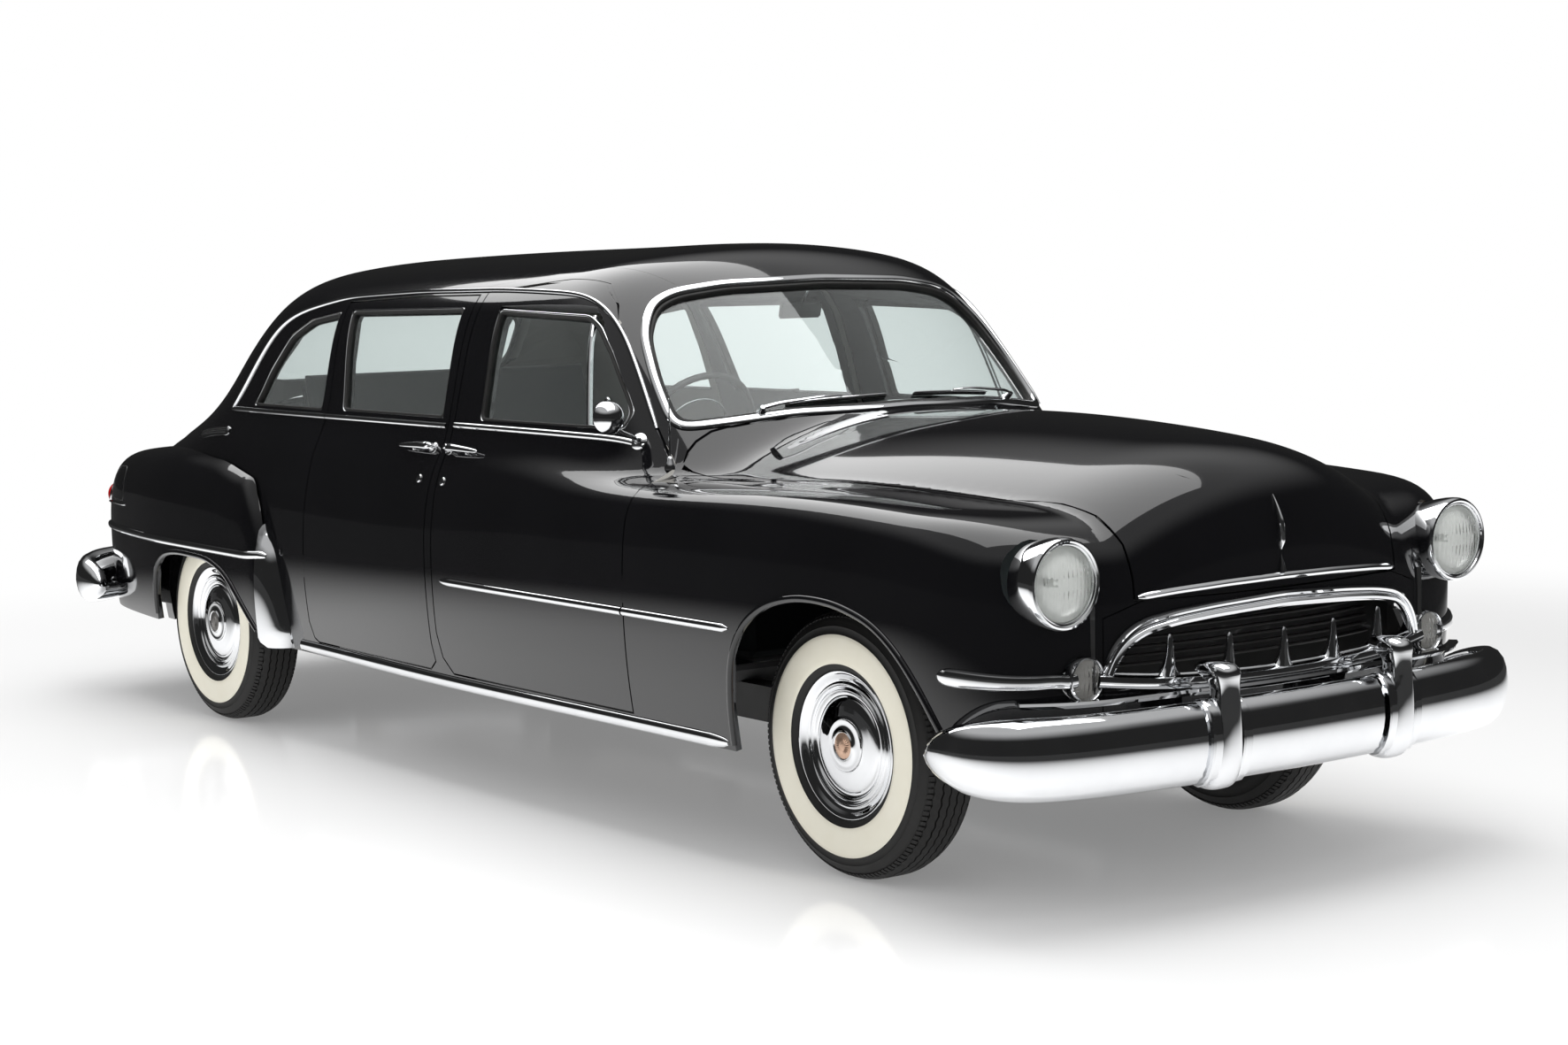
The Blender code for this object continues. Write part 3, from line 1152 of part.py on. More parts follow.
def bench(x, low, width, foot_x):
    """A bench seat over the height low, on a riser that stands on the floor of the cabin."""
    half = width / 2
    base = box((x, -half, low + 0.10), (x + 0.52, half, low + 0.34), 0.05)
    back = [(x - 0.06, low + 0.12), (x + 0.10, low + 0.12), (x - 0.02, low + 0.72), (x - 0.10, low + 0.74),
            (x - 0.17, low + 0.70)]
    riser = box((foot_x, 0.08 - half, CABIN_FLOOR_Z + SEAT_GAP), (x + 0.46, half - 0.08, low + 0.16))
    return join(base, prism(back, 1, -half, half), riser)


def make_interior():
    publish(bench(0.05, CABIN_FLOOR_Z, 1.46, 0.12), "front_seat", "upholstery")
    publish(bench(-1.42, 0.60, 1.26, -1.13), "rear_seat", "upholstery")
    front = BULKHEAD_X - SEAT_GAP
    dash = prism([(front, 0.92), (1.00, 0.94), (0.93, 1.02), (0.94, 1.12), (1.02, 1.15), (front, 1.01)], 1,
                 -0.70, 0.70)
    tunnel = rod((0, 0, -0.60), (0, 0, 0), COLUMN_RADIUS + SEAT_GAP)
    publish(cut(dash, placed(tunnel, STEERING_HUB, STEERING_RAKE)), "dashboard", "black_paint")
    rim = []
    for angle in np.linspace(0, 2 * math.pi, 6)[:-1]:
        rim.append((STEERING_RADIUS + RIM_HALF * math.cos(angle), RIM_HALF * math.sin(angle)))
    spoke = box((0.003 - STEERING_RADIUS, -0.014, -0.010), (STEERING_RADIUS - 0.003, 0.014, 0.006))
    column = rod((0, 0, -0.42), (0, 0, 0), COLUMN_RADIUS)
    wheel = join(turned(rim, 20, closed=True), spoke, rod((0, 0, -0.02), (0, 0, 0.02), 0.035), column)
    publish(placed(wheel, STEERING_HUB, STEERING_RAKE), "steering_wheel", "trim")


def make_mirror():
    face = turned([(0.0, 0.045), (0.030, 0.040), (0.055, 0.022), (0.064, 0.0), (0.064, -0.006),
                   (0.0, -0.006)], 16)
    centre = (MIRROR_X, -MIRROR_Y, MIRROR_Z)
    face = placed(face, centre, (math.radians(80), "Y"))
    place, out = seat_of(skin, (1.037, -0.62, 1.06), (0, -0.86, 0.51))
    foot = facing(rod((0, 0, -0.006), (0, 0, 0.010), 0.024, 0.018), place, out)
    arm = tube([(MIRROR_X, -MIRROR_Y, MIRROR_Z - 0.01), (MIRROR_X, -MIRROR_Y + 0.03, MIRROR_Z - 0.045),
                tuple(place)], 0.008)
    mirror = seated(join(face, arm, foot), "front_door_right", out)
    publish(mirror, "door_mirror", "chrome", HINGES["front"])


def main():
    start_scene()
    make_hood()
    make_front_fenders()
    make_nose_panel()
    make_cabin()
    make_glass()
    make_tail()
    make_rear_fenders()
    make_frame()
    make_floor()
    make_running_gear()
    make_power()
    make_bumpers()
    make_grille()
    make_lamps()
    make_interior()
    make_mirror()


main()
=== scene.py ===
# %% [markdown]
# # Dressing a long black limousine
#
# The solids of this car come from a CAD model: they are the right size, they are cut where real panels meet,
# and they turn on real joints. This file gives them their looks. It keeps every size, and works through the
# car the way a restorer does: bodywork first, then bright trim, glass, wheels, cabin and light.
#
# Frame: metres, +X to the front of the car, +Y to its left side, +Z up, the ground at Z = 0.

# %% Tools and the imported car
import json
import math

import bmesh
import bpy
import numpy as np
from mathutils import Matrix, Vector


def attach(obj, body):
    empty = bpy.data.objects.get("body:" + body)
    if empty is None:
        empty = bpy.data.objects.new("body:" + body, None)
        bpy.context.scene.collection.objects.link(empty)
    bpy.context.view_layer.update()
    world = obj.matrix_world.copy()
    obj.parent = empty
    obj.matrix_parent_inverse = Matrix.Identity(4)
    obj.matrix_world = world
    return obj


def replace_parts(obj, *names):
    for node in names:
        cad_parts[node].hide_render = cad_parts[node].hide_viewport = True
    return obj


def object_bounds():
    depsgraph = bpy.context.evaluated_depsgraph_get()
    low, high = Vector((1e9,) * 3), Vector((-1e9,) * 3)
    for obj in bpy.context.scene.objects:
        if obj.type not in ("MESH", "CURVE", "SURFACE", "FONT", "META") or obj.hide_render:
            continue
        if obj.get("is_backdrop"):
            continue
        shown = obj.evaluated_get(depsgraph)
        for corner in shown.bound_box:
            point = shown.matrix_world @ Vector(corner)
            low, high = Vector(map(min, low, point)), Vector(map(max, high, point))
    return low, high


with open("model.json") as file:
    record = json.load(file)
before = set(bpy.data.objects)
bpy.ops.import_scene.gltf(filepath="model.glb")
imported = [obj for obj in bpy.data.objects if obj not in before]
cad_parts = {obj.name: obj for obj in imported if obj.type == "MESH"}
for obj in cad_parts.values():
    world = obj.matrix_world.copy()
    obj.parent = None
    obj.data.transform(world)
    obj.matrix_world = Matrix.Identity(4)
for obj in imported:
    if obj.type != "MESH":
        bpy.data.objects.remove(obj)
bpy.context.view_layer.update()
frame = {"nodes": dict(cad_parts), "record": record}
NODES = frame["nodes"]
BODY_OF = {node: body for body, members in frame["record"]["behaviour"]["bodies"].items() for node in members}

# %% [markdown]
# ## Reading what the eye sees
#
# A few main sizes of the car are repeated here, because trim follows the body: the axles, the tracks, the
# lamps. The body itself follows one formula. Short tables give its width and heights along the car, a natural
# cubic joins their rows, and a rounded maximum makes one closed skin of them. A panel that is a piece of a
# formula can be shaded with the formula's own slope, so its reflections run on across every shut line.

# %% Main sizes
F, R = 2.0, -1.696  # the axles
TYRE_RADIUS = 0.378
FRONT_Y, REAR_Y = 0.725, 0.85  # the middle of the tyres
LENGTH = 6.05
LAMP = (2.83, 0.753, 0.893)
POD = (0.66, 0.638)
SIDES = {"right": -1, "left": 1}

# %% A natural cubic through a table's rows
def spline(rows):
    place, value = np.array(sorted(rows), float).T
    step = np.diff(place)
    rise = np.diff(value) / step
    system = np.eye(len(place))
    bend = np.zeros(len(place))
    for i in range(1, len(place) - 1):
        system[i, i - 1 : i + 2] = step[i - 1], 2 * (step[i - 1] + step[i]), step[i]
        bend[i] = 6 * (rise[i] - rise[i - 1])
    bend = np.linalg.solve(system, bend)

    def at(x):
        x = np.clip(x, place[0], place[-1])
        i = np.clip(np.searchsorted(place, x) - 1, 0, len(step) - 1)
        a, b, h = place[i + 1] - x, x - place[i], step[i]
        curved = (bend[i] * a**3 + bend[i + 1] * b**3) / (6 * h)
        return curved + (value[i] / h - bend[i] * h / 6) * a + (value[i + 1] / h - bend[i + 1] * h / 6) * b

    return at


def smooth_max(a, b, reach):
    near = np.maximum(reach - np.abs(a - b), 0) / reach
    return np.maximum(a, b) + near**3 * reach / 6


def smooth_min(a, b, reach):
    return -smooth_max(-a, -b, reach)

# %% [markdown]
# ## The body's skin
#
# Two closed shapes make the body: a lower one with the hood, the fenders' crests and the tail, and the roof
# with its windows. They are blended with a soft minimum, which rounds the roof's foot into the shoulder. The
# rear fenders are a third shape that stands out from the sides. Each is a function that is below zero inside.

# %% Tables of widths and heights
BEAM_Z, BEAM_HALF = 0.76, 1.005
REAR_DOOR_FRONT_X, REAR_DOOR_BACK_X, COWL_X = 0.034, -0.873, 1.2
LAMP_Y = LAMP[1]
# (x, half width at beam height)
BEAM = spline([
    (R - 1.3, 0.86), (R - 0.8, 0.915), (R - 0.3, 0.95), (R + 0.3, 0.968), (REAR_DOOR_BACK_X, 0.98),
    (REAR_DOOR_FRONT_X, BEAM_HALF), (COWL_X, BEAM_HALF - 0.002), (F, 0.997), (F + 0.35, 0.987),
    (F + 0.6, 0.967), (F + 0.85, 0.925),
])
# (x, height of the fender crests, the doors' shoulder and the trunk's sides)
SHELF = spline([
    (R - 1.2, 0.82), (R - 1.0, 0.87), (R - 0.69, 0.97), (R - 0.4, 1.06), (R - 0.1, 1.1), (R + 0.5, 1.11),
    (0.0, 1.108), (0.7, 1.098), (F - 0.8, 1.074), (F - 0.5, 1.076), (F, 1.081), (F + 0.3, 1.071),
    (F + 0.55, 1.057), (F + 0.85, 1.038),
])
# (x, height of the hood and the trunk lid along the middle)
CROWN = spline([
    (R - 1.35, 0.74), (R - 1.15, 0.96), (R - 1.0, 1.055), (R - 0.8, 1.14), (R - 0.55, 1.195),
    (R - 0.3, 1.215), (R + 0.3, 1.15), (0.0, 1.12), (F - 1.0, 1.15), (F - 0.7, 1.238), (F - 0.5, 1.252),
    (F - 0.18, 1.258), (F + 0.27, 1.242), (F + 0.6, 1.213), (F + 0.78, 1.188), (F + 0.95, 1.16),
])
# (x, half width of the hood or of the trunk's crowned part)
CROWN_HALF = spline([
    (R - 1.3, 0.88), (R, 0.92), (0.0, 0.9), (F - 1.0, 0.765), (F - 0.8, 0.735), (F - 0.6, 0.69),
    (F - 0.28, 0.648), (F + 0.1, 0.62), (F + 0.34, 0.598), (F + 0.55, 0.57), (F + 0.72, 0.535),
    (F + 0.95, 0.48),
])
# (x, how far the shoulder is rounded)
SHOULDER = spline([(R - 1.0, 0.34), (REAR_DOOR_BACK_X, 0.42), (0.0, 0.34), (COWL_X, 0.2), (F, 0.18),
                   (F + 0.8, 0.22)])
# (x, half width of the roof's sides at shoulder height)
ROOF_HALF = spline([(R - 0.5, 0.76), (R - 0.2, 0.83), (R + 0.2, 0.866), (-0.9, 0.885), (0.0, 0.89),
                    (0.6, 0.886), (0.95, 0.862), (1.25, 0.822)])
# (x, how far the roof's foot is blended into the shoulder)
FOOT = spline([(R - 0.5, 0.22), (REAR_DOOR_BACK_X, 0.2), (0.0, 0.14), (COWL_X, 0.08)])
# (x, drawn height of the roof along the middle)
ROOF = spline([(R - 0.55, 1.56), (R - 0.1, 1.69), (R + 0.38, 1.734), (-0.36, 1.758), (0.2, 1.766),
               (0.7, 1.763), (1.0, 1.731)])

ROOF_LEAN = 0.25  # how much narrower the roof gets with each metre of height
ROOF_FOOT_Z = 1.05  # the roof's sides turn in again under this height, inside the body
NOSE_X = 2.866
TAIL_X = LENGTH / 2 - 0.11
SCREEN_FOOT_X, SCREEN_FOOT_Z = 1.334, 1.253
SCREEN_SLOPE = 1.12
BACK_FOOT_X, BACK_FOOT_Z = R - 0.52, 1.215
BACK_SLOPE = 1.05


# %% The three shapes
def lower_skin(x, y, z):
    """Below zero inside the body under the windows, and about the distance to its surface near it."""
    y = np.abs(y)
    side = y - BEAM(x) + np.where(z > BEAM_Z, 0.3, 0.22) * (z - BEAM_Z) ** 2
    crown_half = CROWN_HALF(x)
    bulge = (CROWN(x) - SHELF(x)) * (1 - (y / crown_half) ** 2.2)
    top = z - SHELF(x) - smooth_max(bulge, 0 * x, 0.03)
    lean = np.where(z > 0.86, 0.2, 0.0) * (z - 0.86) ** 2 + np.where(z < 0.6, 0.8, 0.0) * (z - 0.6) ** 2
    nose = x - NOSE_X + 0.09 * (y / LAMP_Y) ** 2 + lean
    tail = -x - TAIL_X + 0.14 * (y / LAMP_Y) ** 2 + 0.5 * (z - 0.62) ** 2
    body = smooth_max(side, top, SHOULDER(x))
    body = smooth_max(body, nose, 0.34)
    return smooth_max(body, tail, 0.46)


def roof_skin(x, y, z):
    y = np.abs(y)
    climb = np.hypot(z - ROOF_FOOT_Z, 0.03) - (1.168 - ROOF_FOOT_Z)
    side = 0.97 * (y - ROOF_HALF(x) + ROOF_LEAN * climb)
    top = z - ROOF(x) + 0.16 * y**2
    bow = 0.493 - 0.375 * (z - 1.206)
    screen = 0.67 * (x - SCREEN_FOOT_X + SCREEN_SLOPE * (z - SCREEN_FOOT_Z) + bow * y**2)
    back = 0.69 * (-x + BACK_FOOT_X + BACK_SLOPE * (z - BACK_FOOT_Z) + 0.42 * y**2)
    shell = smooth_max(side, top, 0.3)
    shell = smooth_max(shell, screen, 0.17)
    return smooth_max(shell, back, 0.34)


def skin(x, y, z):
    return smooth_min(lower_skin(x, y, z), roof_skin(x, y, z), FOOT(x))


# (x, height of the rear fender's crest) and (x, half width over the rear fenders)
CREST = spline([
    (R - 1.28, 0.7), (R - 1.22, 0.86), (R - 1.14, 0.935), (R - 1.03, 0.968), (R - 0.81, 1.0),
    (R - 0.47, 1.027), (R - 0.15, 1.037), (R + 0.08, 1.03), (R + 0.23, 1.018), (R + 0.37, 0.992),
    (R + 0.47, 0.935), (R + 0.54, 0.78),
])
FENDER_HALF = spline([(R - 1.25, REAR_Y + 0.07), (R - 0.9, REAR_Y + 0.112), (R - 0.4, REAR_Y + 0.178),
                      (R + 0.1, REAR_Y + 0.192), (R + 0.6, REAR_Y + 0.185)])
FENDER_FRONT_X = R + 0.655
FENDER_BACK_X = R - 1.195


def fender_skin(x, y, z):
    """The rear fender, a pontoon that stands out from the body's side."""
    y = np.abs(y)
    side = y - FENDER_HALF(x) + 0.2 * (z - 0.68) ** 2
    top = z - CREST(x) + 0.5 * (y - REAR_Y - 0.05) ** 2
    front = x - FENDER_FRONT_X + 0.14 * np.maximum(z - 0.4, 0)
    back = -x + FENDER_BACK_X + 0.25 * (z - 0.66) ** 2 + 0.9 * np.maximum(y - REAR_Y + 0.25, 0) ** 2
    back = back + 10 * np.maximum(REAR_Y - 0.07 - y, 0) ** 2
    body = smooth_max(side, top, 0.26)
    body = smooth_max(body, front, 0.16)
    return smooth_max(body, back, 0.4)


# %% Rays and slopes
def cast(field, origins, directions, reach=1.6):
    """Where rays that start inside the field leave it."""
    low = np.zeros(origins.shape[:-1])
    high = np.full(origins.shape[:-1], reach)
    for _ in range(40):
        middle = (low + high) / 2
        point = origins + directions * middle[..., None]
        inside = field(point[..., 0], point[..., 1], point[..., 2]) < 0
        low = np.where(inside, middle, low)
        high = np.where(inside, high, middle)
    return origins + directions * high[..., None]


def unit(rows):
    return rows / np.linalg.norm(rows, axis=-1, keepdims=True)


def gradient(field, points, step=1e-4):
    slopes = []
    for axis in np.eye(3) * step:
        ahead, behind = np.moveaxis(points + axis, -1, 0), np.moveaxis(points - axis, -1, 0)
        slopes.append((field(*ahead) - field(*behind)) / (2 * step))
    return np.stack(slopes, axis=-1)


def normals(field, points):
    """Unit vectors out of the field at points on it."""
    return unit(gradient(field, points))


def spot(field, start, way, reach=1.6):
    """The place where one ray leaves the field, and the way out there."""
    place = cast(field, np.array([start], float), np.array([way], float), reach)
    return place[0], normals(field, place)[0]


# %% [markdown]
# ## Finishes
#
# Shader maths reads best as sums, so one small class wraps a socket and gives it Python's operators. Every
# other node comes from its one method, `make`. Each finish below is a recipe of the real material: lacquer
# under a clear coat, plated steel, moulded rubber, woven cloth.

# %% A socket that does sums
class Wire:
    def __init__(self, tree, socket=None):
        self.tree, self.socket = tree, socket

    def make(self, kind, values=(), output=0, **settings):
        """Any node: its type, the values or wires of its sockets, the output wanted and its settings."""
        node = self.tree.nodes.new(kind)
        for name, value in settings.items():
            setattr(node, name, value)
        for name, value in dict(values).items():
            if isinstance(value, Wire):
                self.tree.links.new(value.socket, node.inputs[name])
            else:
                node.inputs[name].default_value = value
        return Wire(self.tree, node.outputs[output])

    def maths(self, operation, *others):
        return self.make("ShaderNodeMath", enumerate((self, *others)), operation=operation)

    def __add__(self, other):
        return self.maths("ADD", other)

    def __mul__(self, other):
        return self.maths("MULTIPLY", other)

    def __sub__(self, other):
        return self.maths("SUBTRACT", other)

    def __rsub__(self, other):
        return (self * -1) + other

    def step(self, low, high):
        """0 below low and 1 above high, with a soft climb between."""
        return self.make("ShaderNodeMapRange", {0: self, 1: low, 2: high}, interpolation_type="SMOOTHSTEP")

    def mix(self, low, high):
        """The colour low where this is 0 and high where it is 1."""
        return self.make("ShaderNodeMix", {0: self, 6: (*low, 1), 7: (*high, 1)}, output=2, data_type="RGBA")

    def noise(self, scale, detail=3.0):
        where = self.make("ShaderNodeTexCoord", output=3)
        return self.make("ShaderNodeTexNoise", {"Vector": where, "Scale": scale, "Detail": detail})

    def bumped(self, strength, distance):
        """The shading normal over this relief."""
        return self.make("ShaderNodeBump", {"Height": self, "Strength": strength, "Distance": distance})


def finish(name, slot, recipe, **fixed):
    """A material: a recipe that wires what changes over the surface, and fixed sockets by name."""
    made = bpy.data.materials.new(name)
    made.use_nodes = True
    tree = made.node_tree
    shader = tree.nodes["Principled BSDF"]
    for socket, value in fixed.items():
        shader.inputs[socket.replace("_", " ")].default_value = value
    if recipe:
        for socket, value in recipe(Wire(tree)).items():
            tree.links.new(value.socket, shader.inputs[socket])
    return made


# %% Recipes
def blotched(dark, light, grain, rough, relief):
    """A colour and a roughness that follow a coarse noise, over the relief of a fine one.

    grain is (scale, detail), rough is (factor, base), and relief is (scale, detail, strength, distance).
    """
    def recipe(w):
        blotch = w.noise(*grain)
        return {"Base Color": blotch.mix(dark, light), "Roughness": blotch * rough[0] + rough[1],
                "Normal": w.noise(*relief[:2]).bumped(*relief[2:])}
    return recipe


def dull(dark, light):
    return blotched(dark, light, (22.0, 6.0), (0.25, 0.4), (180.0, 3.0, 0.12, 0.0008))


def plated(w):
    haze = w.noise(9.0)
    return {"Base Color": haze.mix((0.8, 0.81, 0.83), (0.9, 0.91, 0.92)),
            "Roughness": haze.step(0.45, 0.8) * 0.05 + 0.03,
            "Normal": w.noise(260.0, 2.0).bumped(0.01, 0.0002)}


def silvered(w):
    haze = w.noise(40.0)
    return {"Base Color": haze.mix((0.62, 0.63, 0.62), (0.78, 0.79, 0.78)), "Roughness": haze * 0.12 + 0.24}


def clear(w):
    return {"Roughness": w.noise(7.0).step(0.4, 0.9) * 0.02}


def cloth(dark, light):
    def recipe(w):
        weave, shade = w.noise(900.0, 1.0), w.noise(12.0)
        return {"Base Color": (weave * 0.6 + shade * 0.4).mix(dark, light), "Roughness": shade * 0.1 + 0.82,
                "Normal": weave.bumped(0.35, 0.0012)}
    return recipe


# %% [markdown]
# Black lacquer is nearly all reflection. Its colour is almost nothing, a clear coat carries the gloss, and a
# very fine waviness, called orange peel, breaks the mirror as sprayed paint does. The rest: plated steel,
# white rubber that yellows a little, black rubber with a dusty bloom, window glass with a light green tint,
# ribbed lamp glass, cloth, felt and the dull black of the chassis.

# %% The finishes
PAINT = finish("black lacquer", "black_paint",
               blotched((0.0035, 0.0035, 0.004), (0.006, 0.006, 0.007), (3.0, 3.0), (0.05, 0.05),
                        (420.0, 2.0, 0.035, 0.0006)),
               Coat_Weight=1.0, Coat_Roughness=0.015, Specular_IOR_Level=0.15)
CHROME = finish("chrome plate", "chrome", plated, Metallic=1.0)
SILVER = finish("silvered bowl", "chrome", silvered, Metallic=0.7)
CREAM = finish("cream rubber", "tyre", blotched((0.86, 0.82, 0.68), (0.92, 0.89, 0.77), (14.0, 3.0),
                                                (0.2, 0.4), (300.0, 3.0, 0.05, 0.0006)))
RUBBER = finish("black rubber", "tyre", blotched((0.007, 0.007, 0.007), (0.019, 0.018, 0.017), (18.0, 3.0),
                                                 (0.25, 0.5), (500.0, 3.0, 0.1, 0.0006)))
GLASS = finish("window glass", "glass", clear, Base_Color=(0.83, 0.885, 0.875, 1), Transmission_Weight=1.0,
               IOR=1.45)
LENS = finish("lamp glass", "glass", clear, Base_Color=(0.93, 0.94, 0.93, 1), Transmission_Weight=1.0,
              IOR=1.35)
RED_LENS = finish("red lamp glass", "red_glass", clear, Base_Color=(0.55, 0.01, 0.01, 1),
                  Transmission_Weight=0.6, IOR=1.4)
CLOTH = finish("grey broadcloth", "upholstery", cloth((0.045, 0.046, 0.05), (0.085, 0.087, 0.092)),
               Sheen_Weight=0.3)
HEADLINER = finish("headliner felt", "upholstery", cloth((0.3, 0.29, 0.27), (0.42, 0.41, 0.38)),
                   Sheen_Weight=0.2)
CARPET = finish("black carpet", "upholstery", cloth((0.015, 0.015, 0.016), (0.04, 0.04, 0.042)),
                Sheen_Weight=0.4)
CHASSIS = finish("chassis black", "chassis", dull((0.01, 0.01, 0.011), (0.028, 0.027, 0.025)))
ENGINE = finish("engine enamel", "engine", dull((0.1, 0.13, 0.14), (0.16, 0.19, 0.19)), Metallic=0.2)
STEEL = finish("worn steel", "steel", dull((0.2, 0.19, 0.18), (0.38, 0.37, 0.36)), Metallic=0.9)
DASH = finish("dash enamel", "trim", dull((0.018, 0.018, 0.02), (0.03, 0.03, 0.033)), Coat_Weight=0.4)
BAKELITE = finish("black moulding", "trim", dull((0.01, 0.01, 0.01), (0.022, 0.022, 0.022)), Coat_Weight=0.5)
COPPER = finish("copper enamel", "chrome", blotched((0.52, 0.3, 0.2), (0.8, 0.58, 0.44), (60.0, 3.0),
                                                    (0.2, 0.2), (60.0, 3.0, 0.1, 0.0006)), Metallic=0.8)

# %% [markdown]
# ## Bodywork
#
# Pressed panels are one smooth surface each. The CAD panels have the right outlines and gaps but flat facets,
# so each one is copied, its outer faces are divided until they are small, and every outer point is slid along
# the skin's slope until it lies on the skin. The slope also gives the shading normal, so highlights flow from
# the hood to the fender as they do on one well-fitted body.

# %% Putting a finished piece on the car
def add(name, mesh, *materials):
    for surface in materials:
        mesh.materials.append(surface)
    made = bpy.data.objects.new(name, mesh)
    bpy.context.scene.collection.objects.link(made)
    return made


def fit(piece, body, *replaced):
    """Lets a piece move with its body and stand for CAD nodes."""
    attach(piece, body)
    if replaced:
        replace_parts(piece, *replaced)
    return piece


# %% Dividing and sliding a panel onto the skin
def slide(field, points, depth=0.0, times=4):
    """The points moved along the field's slope until they lie at a depth under its surface."""
    for _ in range(times):
        slope = gradient(field, points)
        size = np.maximum(np.sum(slope * slope, axis=1), 0.05)
        points = points - slope * ((field(*points.T) + depth * np.sqrt(size)) / size)[:, None]
    return points


def panel(node, field, wall, lining=None, longest=0.035):
    """A smooth copy of a CAD panel. Its faces that look into the car take the lining, if there is one."""
    shape = bmesh.new()
    shape.from_mesh(NODES[node].data)
    bmesh.ops.remove_doubles(shape, verts=shape.verts, dist=2e-5)
    bmesh.ops.dissolve_degenerate(shape, edges=shape.edges, dist=1e-5)
    bmesh.ops.triangulate(shape, faces=shape.faces)
    shape.normal_update()
    shape.verts.index_update()
    depth = -field(*np.array([vert.co for vert in shape.verts]).T)
    middles = np.array([face.calc_center_median() for face in shape.faces])
    facing = np.sum(np.array([face.normal for face in shape.faces]) * normals(field, middles), axis=1)
    for face, faced in zip(shape.faces, facing):
        deep = max(depth[vert.index] for vert in face.verts)
        level = abs(face.normal.z) > 0.9999
        outer = faced > 0.3 if deep < wall / 2 else faced > 0.9 and deep < 0.065 and not level
        face.material_index = 0 if outer else (2 if faced < -0.3 else 1)
    for _ in range(7):
        edges = {edge for face in shape.faces if face.material_index == 0 for edge in face.edges
                 if edge.calc_length() > longest}
        if not edges:
            break
        bmesh.ops.subdivide_edges(shape, edges=list(edges), cuts=1)
        bmesh.ops.triangulate(shape, faces=[face for face in shape.faces if len(face.verts) > 3])
    skin_faces = [face for face in shape.faces if face.material_index == 0]
    skin_points = list({vert: None for face in skin_faces for vert in face.verts})
    places = slide(field, np.array([vert.co for vert in skin_points]))
    moved = 0.0
    for vert, place in zip(skin_points, places):
        moved = max(moved, (vert.co - Vector(place)).length)
        vert.co = place
    shape.normal_update()
    mesh = bpy.data.meshes.new(node)
    flags = []
    for face in shape.faces:
        face.smooth = True
        flags.append(face.material_index == 0)
        face.material_index = 1 if lining and face.material_index == 2 else 0
    shape.to_mesh(mesh)
    shape.free()
    places = np.empty(len(mesh.vertices) * 3)
    mesh.vertices.foreach_get("co", places)
    slopes = normals(field, places.reshape(-1, 3))
    loops = []
    for polygon, flag in zip(mesh.polygons, flags):
        for corner in polygon.vertices:
            loops.append(tuple(slopes[corner] if flag else polygon.normal))
    mesh.normals_split_custom_set(loops)
    made = fit(add(node + "_panel", mesh, PAINT, *([lining] if lining else [])), BODY_OF[node], node)
    print(node, len(mesh.polygons), "faces, moved up to", round(moved * 1000, 1), "mm")
    return made

# %% The panels
panel("hood", skin, 0.02)
panel("nose_panel", lower_skin, 0.02, longest=0.025)
panel("roof", skin, 0.045, HEADLINER)
panel("cowl", skin, 0.045)
panel("rear_body", lower_skin, 0.025)
panel("trunk_lid", lower_skin, 0.02)
for side in SIDES:
    panel(f"front_fender_{side}", skin, 0.02)
    panel(f"rear_fender_{side}", fender_skin, 0.02)
    panel(f"side_frame_{side}", skin, 0.06, HEADLINER)
    panel(f"front_door_{side}", skin, 0.07, CLOTH)
    panel(f"rear_door_{side}", skin, 0.07, CLOTH)

# %% [markdown]
# ## Wheels and tyres
#
# Everything on an axle is a profile turned about it, so the tyre's carcass and the pressed wheel cover are
# lathe work. The tread repeats every few centimetres. One pitch of it is modelled with its zigzag ribs and
# shoulder notches, and Geometry Nodes sets copies of it round the tyre.

# %% Faces between rings, a lathe and blocks
def loft(shape, rings, caps=False, closed=True, looped=False, surface=lambda band: 0):
    """Faces from each ring of points to the next. A ring of one point closes the form to a tip."""
    rings = [[shape.verts.new(point) for point in ring] for ring in rings]
    steps = max(len(ring) for ring in rings)
    for band, (one, two) in enumerate(zip(rings, rings[1:] + rings[:1] * looped)):
        for i in range(steps if closed else steps - 1):
            k = (i + 1) % steps
            corners = [one[i % len(one)], one[k % len(one)], two[k % len(two)], two[i % len(two)]]
            corners = list(dict.fromkeys(corners))
            if len(corners) > 2:
                shape.faces.new(corners).material_index = surface(band)
    for ring in (rings[0], rings[-1]) if caps else ():
        shape.faces.new(ring)
    return rings


def revolve(shape, profile, steps, looped=False, surface=lambda band: 0, place=None):
    """(radius, way out) rows turned about Y. surface gives the material's number for each band."""
    turns = [2 * math.pi * i / steps for i in range(steps)]
    rings = loft(shape, [
        [(radius * math.sin(a), out, radius * math.cos(a)) for a in turns] if radius else [(0, out, 0)]
        for radius, out in profile], looped=looped, surface=surface)
    if place is not None:
        bmesh.ops.transform(shape, matrix=place, verts=[vert for ring in rings for vert in ring])


def block(shape, size, place=(0, 0, 0), tilt=0.0, axis="X"):
    """A box of a size, tilted about an axis and set at a place."""
    at = Matrix.Translation(place) @ Matrix.Rotation(tilt, 4, axis) @ Matrix.Diagonal((*size, 1))
    bmesh.ops.create_cube(shape, size=1, matrix=at)


def round_edges(shape, offset, segments):
    bmesh.ops.bevel(shape, geom=shape.edges[:], offset=offset, segments=segments, affect="EDGES")


def oval(a, b, steps):
    """An ellipse's points, by its half axes."""
    return [(a * math.cos(turn), b * math.sin(turn)) for turn in np.linspace(0, 2 * math.pi, steps + 1)[:-1]]


